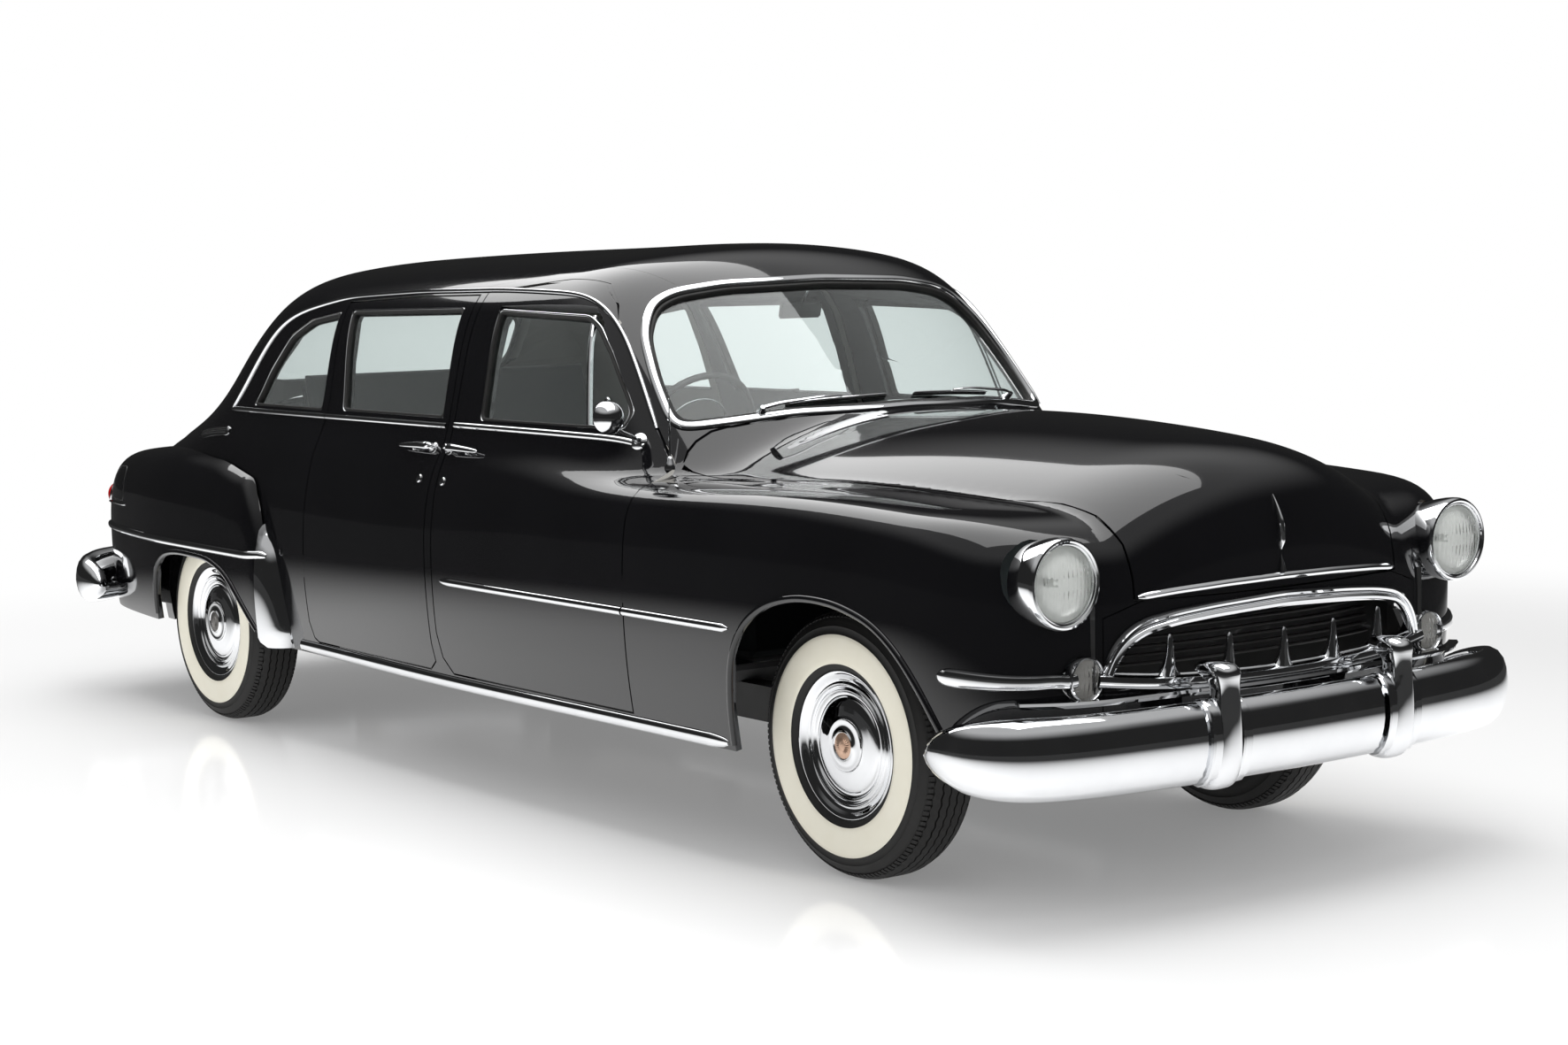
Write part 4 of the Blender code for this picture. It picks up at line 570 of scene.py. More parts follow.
def aimed(place, out):
    """The matrix that sets +Y work on a place, pointing out."""
    turn = Vector((0, 1, 0)).rotation_difference(Vector(out)).to_matrix().to_4x4()
    return Matrix.Translation(place) @ turn


def finished(name, shape, *materials, smooth=32, place=None):
    """A mesh object from a bmesh whose faces are turned out and shaded smooth up to an angle in degrees."""
    bmesh.ops.recalc_face_normals(shape, faces=shape.faces)
    if place is not None:
        bmesh.ops.transform(shape, matrix=place, verts=shape.verts)
    mesh = bpy.data.meshes.new(name)
    shape.to_mesh(mesh)
    shape.free()
    mesh.shade_smooth()
    mesh.set_sharp_from_angle(angle=math.radians(smooth))
    return add(name, mesh, *materials)


# %% Geometry Nodes for things that repeat
def baked(thing):
    """The object's evaluated mesh in place of its modifiers."""
    graph = bpy.context.evaluated_depsgraph_get()
    mesh = bpy.data.meshes.new_from_object(thing.evaluated_get(graph))
    name = thing.name
    bpy.data.objects.remove(thing, do_unlink=True)
    return add(name, mesh)


def node_tree(name, inputs):
    """A geometry tree with named inputs, its group input node and a helper that adds a linked node."""
    tree = bpy.data.node_groups.new(name, "GeometryNodeTree")
    tree.interface.new_socket("Geometry", in_out="OUTPUT", socket_type="NodeSocketGeometry")
    tree.interface.new_socket("Geometry", in_out="INPUT", socket_type="NodeSocketGeometry")
    for label, kind in inputs:
        tree.interface.new_socket(label, in_out="INPUT", socket_type=kind)
    start = tree.nodes.new("NodeGroupInput")

    def put(kind, values=(), **settings):
        node = tree.nodes.new(kind)
        for label, value in settings.items():
            setattr(node, label, value)
        for socket, value in dict(values).items():
            if isinstance(value, bpy.types.NodeSocket):
                tree.links.new(value, node.inputs[socket])
            else:
                node.inputs[socket].default_value = value
        return node

    return tree, start, put


def run_tree(thing, tree, **values):
    """The object put through a tree, whose inputs are set by their sockets' identifiers, and then baked."""
    step = thing.modifiers.new(tree.name, "NODES")
    step.node_group = tree
    for item in tree.interface.items_tree:
        if item.in_out == "INPUT" and item.name in values:
            step[item.identifier] = values[item.name]
    made = baked(thing)
    made.data.materials.clear()
    made.data.materials.append(values["Material"])
    made.data.polygons.foreach_set("material_index", [0] * len(made.data.polygons))
    return made


def close_tree(tree, put, geometry, material):
    real = put("GeometryNodeRealizeInstances", {0: geometry})
    coloured = put("GeometryNodeSetMaterial", {0: real.outputs[0], 2: material})
    tree.links.new(coloured.outputs[0], tree.nodes.new("NodeGroupOutput").inputs[0])


def ring_tree():
    """Sets copies of the incoming mesh round the Y axis, each turned to face out."""
    tree, start, put = node_tree("ring_of_copies",
                                 [("Count", "NodeSocketInt"), ("Material", "NodeSocketMaterial")])
    points = put("GeometryNodeMeshLine", {"Count": start.outputs["Count"], "Offset": (0, 0, 0)})
    index = put("GeometryNodeInputIndex")
    share = put("ShaderNodeMath", {0: index.outputs[0], 1: start.outputs["Count"]}, operation="DIVIDE")
    angle = put("ShaderNodeMath", {0: share.outputs[0], 1: 2 * math.pi}, operation="MULTIPLY")
    turn = put("ShaderNodeCombineXYZ", {"Y": angle.outputs[0]})
    copies = put("GeometryNodeInstanceOnPoints", {
        "Points": points.outputs[0], "Instance": start.outputs["Geometry"], "Rotation": turn.outputs[0]})
    close_tree(tree, put, copies.outputs[0], start.outputs["Material"])
    return tree


RING = ring_tree()

# %% One pitch of tread
PITCHES = 68
RIBS = (-0.0535, -0.0265, 0.0, 0.0265, 0.0535)


def crown(out):
    """The tread's radius across its width."""
    return TYRE_RADIUS - 7.5 * max(abs(out) - 0.03, 0) ** 2


LUG = [(0.0665, 0.0), (0.0735, 0.0035), (0.08, 0.0085)]  # (way out, drop) down a shoulder notch


def tread_pitch():
    shape = bmesh.new()
    step = 2 * math.pi / PITCHES

    def point(radius, out, share):
        return shape.verts.new((radius * math.sin(share * step), out, radius * math.cos(share * step)))

    half, depth = 0.0108, 0.008
    for middle in RIBS:
        for start, slant in ((0, 0.0022), (0.5, -0.0022)):
            corners = [(middle - half + slant, start), (middle + half + slant, start),
                       (middle + half - slant, start + 0.5), (middle - half - slant, start + 0.5)]
            top, foot = ([point(crown(out) - drop, out, share) for out, share in corners]
                         for drop in (0, depth))
            shape.faces.new(top)
            shape.faces.new([top[0], top[3], foot[3], foot[0]])
            shape.faces.new([top[2], top[1], foot[1], foot[2]])
    for side in (-1, 1):
        for start in (0.06, 0.56):
            top, foot = (
                [[point(crown(LUG[0][0]) - drop * 1.1 - sink, side * (out - inset), start + share)
                  for share in (0, 0.34)] for out, drop in LUG]
                for sink, inset in ((0, 0), (0.004, 0.003)))
            for i in range(2):
                shape.faces.new([top[i][0], top[i][1], top[i + 1][1], top[i + 1][0]])
                for j in (0, 1):
                    shape.faces.new([top[i][j], foot[i][j], foot[i + 1][j], top[i + 1][j]])
            for i in (0, 2):
                shape.faces.new([top[i][0], top[i][1], foot[i][1], foot[i][0]])
    bmesh.ops.recalc_face_normals(shape, faces=shape.faces)
    for face in shape.faces:
        middle = face.calc_center_median()
        if face.normal.dot(Vector((middle.x, 0, middle.z)).normalized()) < -0.5:
            face.normal_flip()
    mesh = bpy.data.meshes.new("tread")
    shape.to_mesh(mesh)
    shape.free()
    return mesh


# %% The tyre's carcass and the wheel cover
CARCASS = [
    (0.205, 0.066), (0.2085, 0.08), (0.2135, 0.0865), (0.22, 0.0905), (0.2265, 0.093), (0.228, 0.0955),
    (0.242, 0.0985), (0.26, 0.1008), (0.28, 0.1015), (0.298, 0.1005), (0.3105, 0.0988), (0.312, 0.0968),
    (0.32, 0.0955), (0.331, 0.093), (0.333, 0.0945), (0.335, 0.092), (0.345, 0.087), (0.354, 0.08),
    (0.36, 0.073), (0.3625, 0.066), (0.366, 0.056), (0.3695, 0.04), (0.371, 0.02), (0.3712, 0.0),
]
WHITE_BANDS = range(5, 10)
COVER = [
    (0.196, 0.055), (0.206, 0.061), (0.2085, 0.0645), (0.2086, 0.068), (0.2065, 0.0702), (0.203, 0.07),
    (0.196, 0.0664), (0.188, 0.0618), (0.1815, 0.0592), (0.1785, 0.0592), (0.1765, 0.0612), (0.1745, 0.0652),
    (0.1715, 0.0672), (0.1685, 0.0664), (0.1668, 0.0636), (0.1655, 0.0606), (0.162, 0.0596), (0.159, 0.061),
    (0.157, 0.0642), (0.154, 0.0662), (0.151, 0.0654), (0.149, 0.0624), (0.1475, 0.0598), (0.143, 0.0586),
    (0.138, 0.059), (0.135, 0.0606), (0.1335, 0.0634), (0.13, 0.0662), (0.12, 0.0706), (0.108, 0.0742),
    (0.096, 0.0768), (0.084, 0.0786), (0.0765, 0.0792), (0.0745, 0.08), (0.0738, 0.083), (0.0715, 0.0852),
    (0.068, 0.0854), (0.062, 0.0842), (0.052, 0.0848), (0.045, 0.0868), (0.042, 0.0886), (0.0408, 0.0912),
    (0.039, 0.0922), (0.037, 0.0912), (0.0362, 0.0896),
]
# The cover's rim and rings stand further out than this, up to 14 mm, nearly level with the tyre's side.
COVER = COVER[:1] + [(radius, out + 0.014 * min(max((radius - 0.1) / 0.09, 0), 1))
                     for radius, out in COVER[1:]]


DRUM = [(0.196, 0.055), (0.196, -0.06), (0.203, -0.066), (0.15, -0.052), (0.145, 0.0), (0.0, 0.0)]
# A plain fluted disc in the cover's middle, which bears no badge: (radius, way out, depth of the flutes)
DISC = [(0.0362, 0.0896, 0), (0.03, 0.0908, 0.0012), (0.016, 0.0926, 0.0008), (0.012, 0.0934, 0)]
PETALS = 24


# %% Four wheels
def make_wheel(end, end_x, half_track, side, label):
    """A wheel whose own +Y is the way out of the car."""
    place = Matrix.Translation((end_x, side * half_track, TYRE_RADIUS))
    place = place @ Matrix.Rotation(math.pi if side < 0 else 0.0, 4, "Z")
    body = f"{end}_wheel_{label}"
    shape = bmesh.new()
    profile = CARCASS + [(radius, -out) for radius, out in CARCASS[-2::-1]]
    revolve(shape, profile, 112, True, lambda band: 1 if band in WHITE_BANDS else 0)
    fit(finished(f"{end}_tyre_{label}_carcass", shape, RUBBER, CREAM, smooth=60, place=place), body,
        f"{end}_tyre_{label}")
    tread = run_tree(add(f"{end}_tyre_{label}_tread", tread_pitch()), RING, Count=PITCHES, Material=RUBBER)
    tread.data.transform(place)
    fit(tread, body)
    shape = bmesh.new()
    revolve(shape, COVER, 96)
    turns = [math.pi * i / PETALS for i in range(PETALS * 2)]
    rings = [[(radius * math.sin(a), out - wave * (-1) ** i, radius * math.cos(a))
              for i, a in enumerate(turns)] for radius, out, wave in DISC]
    loft(shape, rings + [[(0, 0.0942, 0)]], surface=lambda band: 1)
    revolve(shape, DRUM, 48)
    bmesh.ops.remove_doubles(shape, verts=shape.verts, dist=1e-5)
    tone = COPPER if end == "front" else STEEL
    fit(finished(f"{end}_wheel_{label}_cover", shape, CHROME, tone, smooth=40, place=place), body,
        f"{end}_wheel_{label}")


for label, side in SIDES.items():
    make_wheel("front", F, FRONT_Y, side, label)
    make_wheel("rear", R, REAR_Y, side, label)
print("wheels with", PITCHES, "pitches of tread each")

# %% [markdown]
# ## Bright mouldings
#
# The strips along the sides, the drip rail, the windshield's surround and the sill trim are rolled or stamped
# sections that follow the body. Each is a path laid on the skin. Geometry Nodes carries a section along it:
# the path stores the skin's slope at every point, which becomes the curve's normal, so the strip never twists
# off the surface, and it stores a width that tapers the ends.

# %% A section carried along a path
def moulding_tree():
    tree, start, put = node_tree("section_along_path", [
        ("Profile", "NodeSocketObject"), ("Material", "NodeSocketMaterial")])
    outward = put("GeometryNodeInputNamedAttribute", {"Name": "outward"}, data_type="FLOAT_VECTOR")
    width = put("GeometryNodeInputNamedAttribute", {"Name": "width"}, data_type="FLOAT")
    line = put("GeometryNodeMeshToCurve", {"Mesh": start.outputs["Geometry"]})
    turned = put("GeometryNodeSetCurveNormal", {"Curve": line.outputs[0], "Normal": outward.outputs[0]},
                 mode="FREE")
    source = put("GeometryNodeObjectInfo", {"Object": start.outputs["Profile"]})
    profile = put("GeometryNodeMeshToCurve", {"Mesh": source.outputs["Geometry"]})
    swept = put("GeometryNodeCurveToMesh", {
        "Curve": turned.outputs[0], "Profile Curve": profile.outputs[0], "Scale": width.outputs[0],
        "Fill Caps": True})
    close_tree(tree, put, swept.outputs[0], start.outputs["Material"])
    return tree


MOULDING = moulding_tree()


def line_mesh(name, points, closed, **stored):
    """A line as a mesh, with a vector or a number stored at each point under a name."""
    mesh = bpy.data.meshes.new(name)
    count = len(points)
    edges = [(i, (i + 1) % count) for i in range(count if closed else count - 1)]
    mesh.from_pydata([tuple(point) for point in points], edges, [])
    for label, values in stored.items():
        kind, field = ("FLOAT_VECTOR", "vector") if np.ndim(values) > 1 else ("FLOAT", "value")
        mesh.attributes.new(label, kind, "POINT").data.foreach_set(field, np.ravel(values).astype(float))
    return mesh


def even(points, spacing, closed=False, soft=None):
    """The same line in even steps: along a cubic, or along straight runs softened that many times."""
    points = np.array(points, float)
    if closed:
        points = np.concatenate([points[-3:], points, points[:4]])
    run = np.concatenate([[0], np.cumsum(np.linalg.norm(np.diff(points, axis=0), axis=1))])
    low, high = (run[3], run[-4]) if closed else (run[0], run[-1])
    at = np.linspace(low, high, max(int((high - low) / spacing), 3) + 1)
    if closed:
        at = at[:-1]
    if soft is None:
        return np.stack([spline(list(zip(run, column)))(at) for column in points.T], axis=1)
    line = np.stack([np.interp(at, run, column) for column in points.T], axis=1)
    for _ in range(soft):
        ahead, behind = np.roll(line, -1, axis=0), np.roll(line, 1, axis=0)
        if not closed:
            ahead[-1], behind[-1], ahead[0], behind[0] = line[-1], line[-1], line[0], line[0]
        line = line / 2 + (ahead + behind) / 4
    return line


def bead(width, height, sink=0.004, power=1.0):
    """A half-round section of (out, across) rows, sunk a little into what it sits on."""
    rows = [(height * math.sin(t) ** power, -width / 2 * math.cos(t)) for t in np.linspace(0, math.pi, 9)]
    return [(-sink, -width / 2), *rows, (-sink, width / 2)]


def tapered(count, start=1.0, end=1.0, share=0.06):
    """Widths along a line that narrow to the start and end values over a share of its length."""
    at = np.linspace(0, 1, count)
    low = start + (1 - start) * np.sqrt(np.clip(at / share, 0, 1))
    high = end + (1 - end) * np.sqrt(np.clip((1 - at) / share, 0, 1))
    return np.minimum(low, high)


def moulding(name, body, points, section, outward, widths=1.0, closed=False, material=CHROME, mirrored=False):
    """A section of (out, across) rows swept along points and fitted to a body."""
    count = len(points)
    profile = add("profile", line_mesh("profile", [(a, b, 0) for a, b in section], True))
    path = add(name, line_mesh(name, points, closed, outward=np.broadcast_to(outward, (count, 3)),
                               width=np.broadcast_to(widths, count)))
    made = run_tree(path, MOULDING, Profile=profile, Material=material)
    bpy.data.objects.remove(profile, do_unlink=True)
    shape = bmesh.new()
    shape.from_mesh(made.data)
    bmesh.ops.remove_doubles(shape, verts=shape.verts, dist=1e-5)
    if mirrored:
        bmesh.ops.transform(shape, matrix=Matrix.Scale(-1, 4, (0, 1, 0)), verts=shape.verts)
    bmesh.ops.recalc_face_normals(shape, faces=shape.faces)
    shape.to_mesh(made.data)
    shape.free()
    made.data.shade_smooth()
    made.data.set_sharp_from_angle(angle=math.radians(38))
    return fit(made, body)


def on_skin(field, points, spacing=0.02, soft=30, lift=0.0):
    """An even line through the points, slid onto a field, and the field's slope along it."""
    line = slide(field, even(points, spacing, soft=soft), -lift)
    return line, normals(field, line)


def both(name, body, points, section, field=skin, ends=(1.0, 1.0, 0.06), material=CHROME, **how):
    """A moulding on the right side and its mirror image on the left."""
    line, out = on_skin(field, points, **how)
    for label in SIDES:
        moulding(f"{name}_{label}", body.format(side=label), line, section, out, tapered(len(line), *ends),
                 material=material, mirrored=label == "left")


# %% [markdown]
# Where a strip crosses from a door to the fender it is cut at the gap, so each length moves with its own
# panel.

# %% Strips on the doors, fenders and sills
FENDER_EDGE_X = COWL_X + 0.006
STRIP_Z, BELT_Z = 0.695, 1.184
STRIP, BELT = bead(0.026, 0.011), bead(0.02, 0.009)
DOOR, REAR_DOOR = "front_door_{side}", "rear_door_{side}"
both("door_strip", DOOR, [(x, -1.0, STRIP_Z) for x in (0.135, 0.5, 0.9, COWL_X - 0.003)], STRIP,
     ends=(0.12, 1.0, 0.05))
both("front_fender_strip", "body", [(x, -1.0, STRIP_Z) for x in (FENDER_EDGE_X, 1.4, 1.6, 1.722)], STRIP,
     ends=(1.0, 0.25, 0.05))
both("rear_fender_strip", "body", [(-2.69, -0.9, 0.688), (-2.6, -0.93, 0.686), (-2.3, -1.0, 0.684),
                                   (-1.7, -1.03, 0.68), (-1.12, -1.0, 0.676)],
     bead(0.03, 0.012), fender_skin, ends=(0.3, 0.6, 0.02))
both("sill_trim", "body", [(x, -0.96, 0.361) for x in (-0.96, -0.4, 0.4, 1.0, 1.671)], bead(0.044, 0.014),
     lower_skin, ends=(1.0, 0.35, 0.03))

# %% Belt and drip mouldings
both("belt_rear", "body", [(-1.64, -0.87, 1.192), (-1.3, -0.87, 1.186),
                           (REAR_DOOR_BACK_X + 0.03, -0.87, BELT_Z)],
     BELT, ends=(0.6, 1.0, 0.03))
both("belt_rear_door", REAR_DOOR, [(x, -0.87, BELT_Z) for x in (REAR_DOOR_BACK_X + 0.036, -0.4, 0.006)], BELT)
both("belt_front_door", DOOR, [(x, -0.85, BELT_Z) for x in (0.06, 0.5, 0.9, 1.078)], BELT)
DRIP_LINE = [(-1.64, -0.856, 1.192), (-1.585, -0.832, 1.27), (-1.529, -0.815, 1.342), (-1.412, -0.778, 1.479),
             (-1.33, -0.764, 1.525), (-1.218, -0.757, 1.56), (-0.926, -0.732, 1.606), (-0.4, -0.722, 1.625),
             (0.1, -0.724, 1.632), (0.48, -0.737, 1.625), (0.64, -0.731, 1.611), (0.735, -0.727, 1.578),
             (0.836, -0.73, 1.5), (0.952, -0.752, 1.365), (1.068, -0.776, 1.216)]
both("drip_moulding", "body", DRIP_LINE, bead(0.016, 0.011), ends=(0.5, 0.6, 0.02), spacing=0.015)


# %% Windows' outlines
def grown(outline, by):
    """A closed outline moved outwards by a distance."""
    points = np.array(outline, float)
    ahead = unit(np.roll(points, -1, axis=0) - points)
    if np.sum(points[:, 0] * np.roll(points[:, 1], -1) - np.roll(points[:, 0], -1) * points[:, 1]) < 0:
        by = -by
    out = np.stack([ahead[:, 1], -ahead[:, 0]], axis=1)
    before = np.roll(out, 1, axis=0)
    return points + (out + before) / (1 + np.sum(out * before, axis=1, keepdims=True)) * by


def whole(half):
    """Both halves of an outline whose first and last rows are on the middle line."""
    return half + [(-a, b) for a, b in half[-2:0:-1]]


def sunk(points, way, depth=0.0):
    """Points thrown at the skin along a direction and set in from it."""
    place = cast(skin, points, np.broadcast_to(np.array(way, float), points.shape), 3.0)
    slope = normals(skin, place)
    return place - slope * depth, slope


def end_rows(half, by, start_x, soft=14):
    """Rows round a window at the front or the back, by a distance outside its opening, on a plane inside."""
    rows = even([(0.0, y, z) for y, z in grown(whole(half), by)], 0.012, True, soft)
    rows[:, 0] = start_x
    return rows


# the (y, z) half outlines of the openings, then where rays start from and which way they go
SCREEN = [(0.0, 1.272), (0.4, 1.262), (0.728, 1.226), (0.712, 1.36), (0.678, 1.49), (0.612, 1.578),
          (0.53, 1.612), (0.36, 1.634), (0.0, 1.645)]
BACK_LIGHT = [(0.0, 1.262), (0.4, 1.262), (0.52, 1.275), (0.56, 1.32), (0.52, 1.49), (0.46, 1.54),
              (0.34, 1.556), (0.0, 1.56)]
ENDS = {"windshield": (SCREEN, -0.2, (1, 0, 0)), "back_window": (BACK_LIGHT, -0.9, (-1, 0, 0))}
for name, by, section in (("windshield", 0.01, bead(0.028, 0.01, 0.01, 0.6)),
                          ("back_window", 0.008, bead(0.02, 0.008, 0.008, 0.7))):
    half, start_x, way = ENDS[name]
    line, out = sunk(end_rows(half, by, start_x), way)
    moulding(f"{name}_surround", "body", line, section, out, closed=True)

# %% [markdown]
# ## Bumpers
#
# A bumper is one deep pressing, bowed in plan, whose section closes in a rounded shell at each end. It is
# built as rings of one section carried along the bow. The guards are castings: stacks of rounded rings, which
# subdivision turns into the soft pillar with its domed head.

# %% The bow and its section
TIP = LENGTH / 2
BUMPER_Z = 0.462
SPACING = 0.022
# (way out, height) rows round the pressing, outer face first
SECTION = [(-0.03, 0.092), (-0.012, 0.106), (0.008, 0.108), (0.028, 0.098), (0.043, 0.078), (0.052, 0.052),
           (0.056, 0.022), (0.057, 0.0), (0.054, -0.026), (0.048, -0.054), (0.036, -0.082), (0.018, -0.102),
           (-0.004, -0.11), (-0.024, -0.104), (-0.03, -0.096), (-0.022, -0.092), (-0.004, -0.099),
           (0.014, -0.092), (0.03, -0.074), (0.041, -0.05), (0.047, -0.024), (0.049, 0.0), (0.048, 0.022),
           (0.044, 0.048), (0.036, 0.07), (0.022, 0.088), (0.008, 0.098), (-0.01, 0.097), (-0.026, 0.086)]


def both_ways(rows):
    """Rows that end on the middle line, and their mirror image after them."""
    return rows + [(x, -y, *rest) for x, y, *rest in rows[-2::-1]]


def bumper_bar(name, end_y, direction):
    bow = [(0.46, end_y), (0.4, end_y + 0.001), (0.32, end_y - 0.004), (0.215, 0.925), (0.145, 0.8),
           (0.105, 0.6), (0.08, 0.33), (0.07, 0.0)]
    line = even(both_ways([(TIP - x, -y, 0.0) for x, y in bow]), SPACING)
    ahead = unit(np.gradient(line, axis=0))
    out = np.stack([ahead[:, 1], -ahead[:, 0], 0 * ahead[:, 0]], axis=1)
    place = np.arange(len(line))
    run = np.minimum(place, place[::-1]) * SPACING
    scale = np.clip(np.sqrt(1 - np.clip(1 - run / 0.34, 0, 1) ** 2.2), 0.1, 1)
    rings = []
    for place, way, size in zip(line, out, scale):
        sag = 0.012 * (1 - size)
        rings.append([(place + way * (a * (0.35 + 0.65 * size) - sag) + (0, 0, BUMPER_Z - sag + b * size))
                      * (direction, 1, 1) for a, b in SECTION])
    shape = bmesh.new()
    loft(shape, rings, caps=True)
    return finished(name, shape, CHROME, smooth=50)


# (height, place along X from the tip, half depth, half width) of the guards' rings
GUARD = [(0.334, -0.083, 0.012, 0.02), (0.338, -0.082, 0.03, 0.042), (0.352, -0.078, 0.044, 0.052),
         (0.385, -0.066, 0.05, 0.054), (0.43, -0.056, 0.05, 0.05), (0.49, -0.05, 0.048, 0.043),
         (0.55, -0.047, 0.042, 0.037), (0.59, -0.045, 0.036, 0.034), (0.612, -0.046, 0.036, 0.036),
         (0.628, -0.058, 0.05, 0.041), (0.645, -0.072, 0.068, 0.043), (0.66, -0.076, 0.062, 0.04),
         (0.669, -0.078, 0.046, 0.03), (0.673, -0.078, 0.02, 0.012)]
GUARD_Y = (-0.333, 0.333)


def stack(shape, rows, y, steps, boxy, direction=1):
    """A pillar of closed rings, by (height, place along X, half depth, half width).

    boxy is the powers that square the rings across and along.
    """
    def bent(value, power):
        return math.copysign(abs(value) ** power, value)

    turns = [2 * math.pi * i / steps for i in range(steps)]
    loft(shape, [[(direction * (x + deep * bent(math.sin(a), boxy[1])),
                   y + wide * bent(math.cos(a), boxy[0]), z) for a in turns]
                 for z, x, deep, wide in rows], caps=True)


def saddle(shape, y, direction):
    """The two bands that hold a guard round the bumper's face."""
    rows = [(0.006 + a * 1.06, b * 1.04) for a, b in SECTION[1:14]]
    for low, high in ((y - 0.068, y - 0.036), (y + 0.036, y + 0.068)):
        rings = []
        for across, lift in ((low, 0.0), (low + 0.004, 0.004), (high - 0.004, 0.004), (high, 0.0)):
            bowed = TIP - 0.08 - (abs(across) - 0.33) * 0.05
            rings.append([(direction * (bowed + (a + lift)), across, BUMPER_Z + b * (1 + lift * 4))
                          for a, b in rows])
        loft(shape, rings, closed=False)
        bmesh.ops.holes_fill(shape, edges=[edge for edge in shape.edges if edge.is_boundary], sides=0)


# %% Both bumpers
BOLT = [(0.0125, -0.003), (0.013, 0.001), (0.0105, 0.003), (0.007, 0.004), (0.0062, 0.0026), (0.0, 0.003)]


def make_bumper(name, end_y, direction, bolt_x, arm_x, arm_y, arm_z):
    fit(bumper_bar(f"{name}_bar", end_y, direction), "body", name)
    shape = bmesh.new()
    for y in GUARD_Y:
        stack(shape, [(z, TIP + x, deep, wide) for z, x, deep, wide in GUARD], y, 24, (0.75, 0.75), direction)
    guards = finished(f"{name}_guards", shape, CHROME, smooth=60)
    step = guards.modifiers.new("round", "SUBSURF")
    step.levels = step.render_levels = 1
    fit(baked(guards), "body")
    shape = bmesh.new()
    for y in GUARD_Y:
        saddle(shape, y, direction)
    fit(finished(f"{name}_saddles", shape, CHROME, smooth=40), "body")
    for label, side in SIDES.items():
        shape = bmesh.new()
        revolve(shape, BOLT, 20)
        place = Matrix.Translation((direction * bolt_x, side * 0.831, 0.428))
        turn = Matrix.Rotation(-math.pi / 2 * direction, 4, "Z") @ Matrix.Rotation(math.radians(-14), 4, "X")
        lean = Matrix.Rotation(math.radians(22 * direction * side), 4, "Z")
        fit(finished(f"{name}_bolt_{label}", shape, CHROME, place=place @ turn @ lean), "body")
    shape = bmesh.new()
    for side in (-1, 1):
        block(shape, (TIP - 0.09 - arm_x, 0.05, 0.08),
              (direction * (TIP - 0.09 + arm_x) / 2, side * arm_y, arm_z))
    round_edges(shape, 0.006, 2)
    fit(finished(f"{name}_arms", shape, CHASSIS), "body")


make_bumper("front_bumper", 0.985, 1, TIP - 0.128, 2.72, 0.3103, 0.45)
make_bumper("rear_bumper", REAR_Y + 0.17, -1, TIP - 0.139, 2.812, 0.43, 0.51)
print("bumpers")

# %% [markdown]
# ## Grille
#
# The mouth is one arched surround over a thick curved bar that carries five teeth, each a die-cast fin with
# filleted feet. Behind them is a dark core with level slats, which Geometry Nodes repeats.

# %% The surround and the bars
def level_frame(line):
    """At each point of a line, the way out of the nose, square to the line."""
    ahead = unit(np.gradient(line, axis=0))
    return unit(np.array([1.0, 0.0, 0.0]) - ahead * ahead[:, :1])


def swept_bar(name, rows, section, material=CHROME, spacing=0.012):
    """A bar along rows, whose section's rows are (out, up)."""
    line = even(rows, spacing)
    out = level_frame(line)
    up = np.cross(out, unit(np.gradient(line, axis=0)))
    up *= np.sign(up[:, 2:3])
    shape = bmesh.new()
    loft(shape, [[place + way * a + rise * b for a, b in section] for place, way, rise in zip(line, out, up)],
         caps=True)
    return finished(name, shape, material, smooth=38)


ARCH = [(2.812, -0.595, 0.628), (2.82, -0.578, 0.68), (2.828, -0.54, 0.728), (2.838, -0.48, 0.76),
        (2.852, -0.38, 0.776), (2.862, -0.25, 0.786), (2.87, 0.0, 0.795)]
ARCH_SECTION = [(-0.02, -0.024), (0.006, -0.025), (0.014, -0.022), (0.017, -0.016), (0.014, -0.01),
                (0.008, -0.008), (0.008, -0.004), (0.016, 0.0), (0.021, 0.008), (0.019, 0.016), (0.01, 0.023),
                (-0.02, 0.024)]
BAR = [(2.806, -0.62, 0.634), (2.826, -0.52, 0.622), (2.848, -0.4, 0.612), (2.866, -0.2, 0.604),
       (2.872, 0.0, 0.601)]
BAR_SECTION = [(-0.03, -0.02), (0.004, -0.021), (0.015, -0.018), (0.02, -0.01), (0.0205, 0.0), (0.0175, 0.01),
               (0.01, 0.015), (0.002, 0.0165), (0.0, 0.02), (-0.004, 0.0225), (-0.01, 0.0225),
               (-0.014, 0.019), (-0.03, 0.018)]
LIP = [(2.755, -0.84, 0.583), (2.825, -0.72, 0.583), (2.865, -0.5, 0.583), (2.895, -0.25, 0.583),
       (2.905, 0.0, 0.583)]
LIP_SECTION = [(-0.014, -0.008), (0.01, -0.008), (0.014, 0.0), (0.01, 0.007), (-0.014, 0.007)]
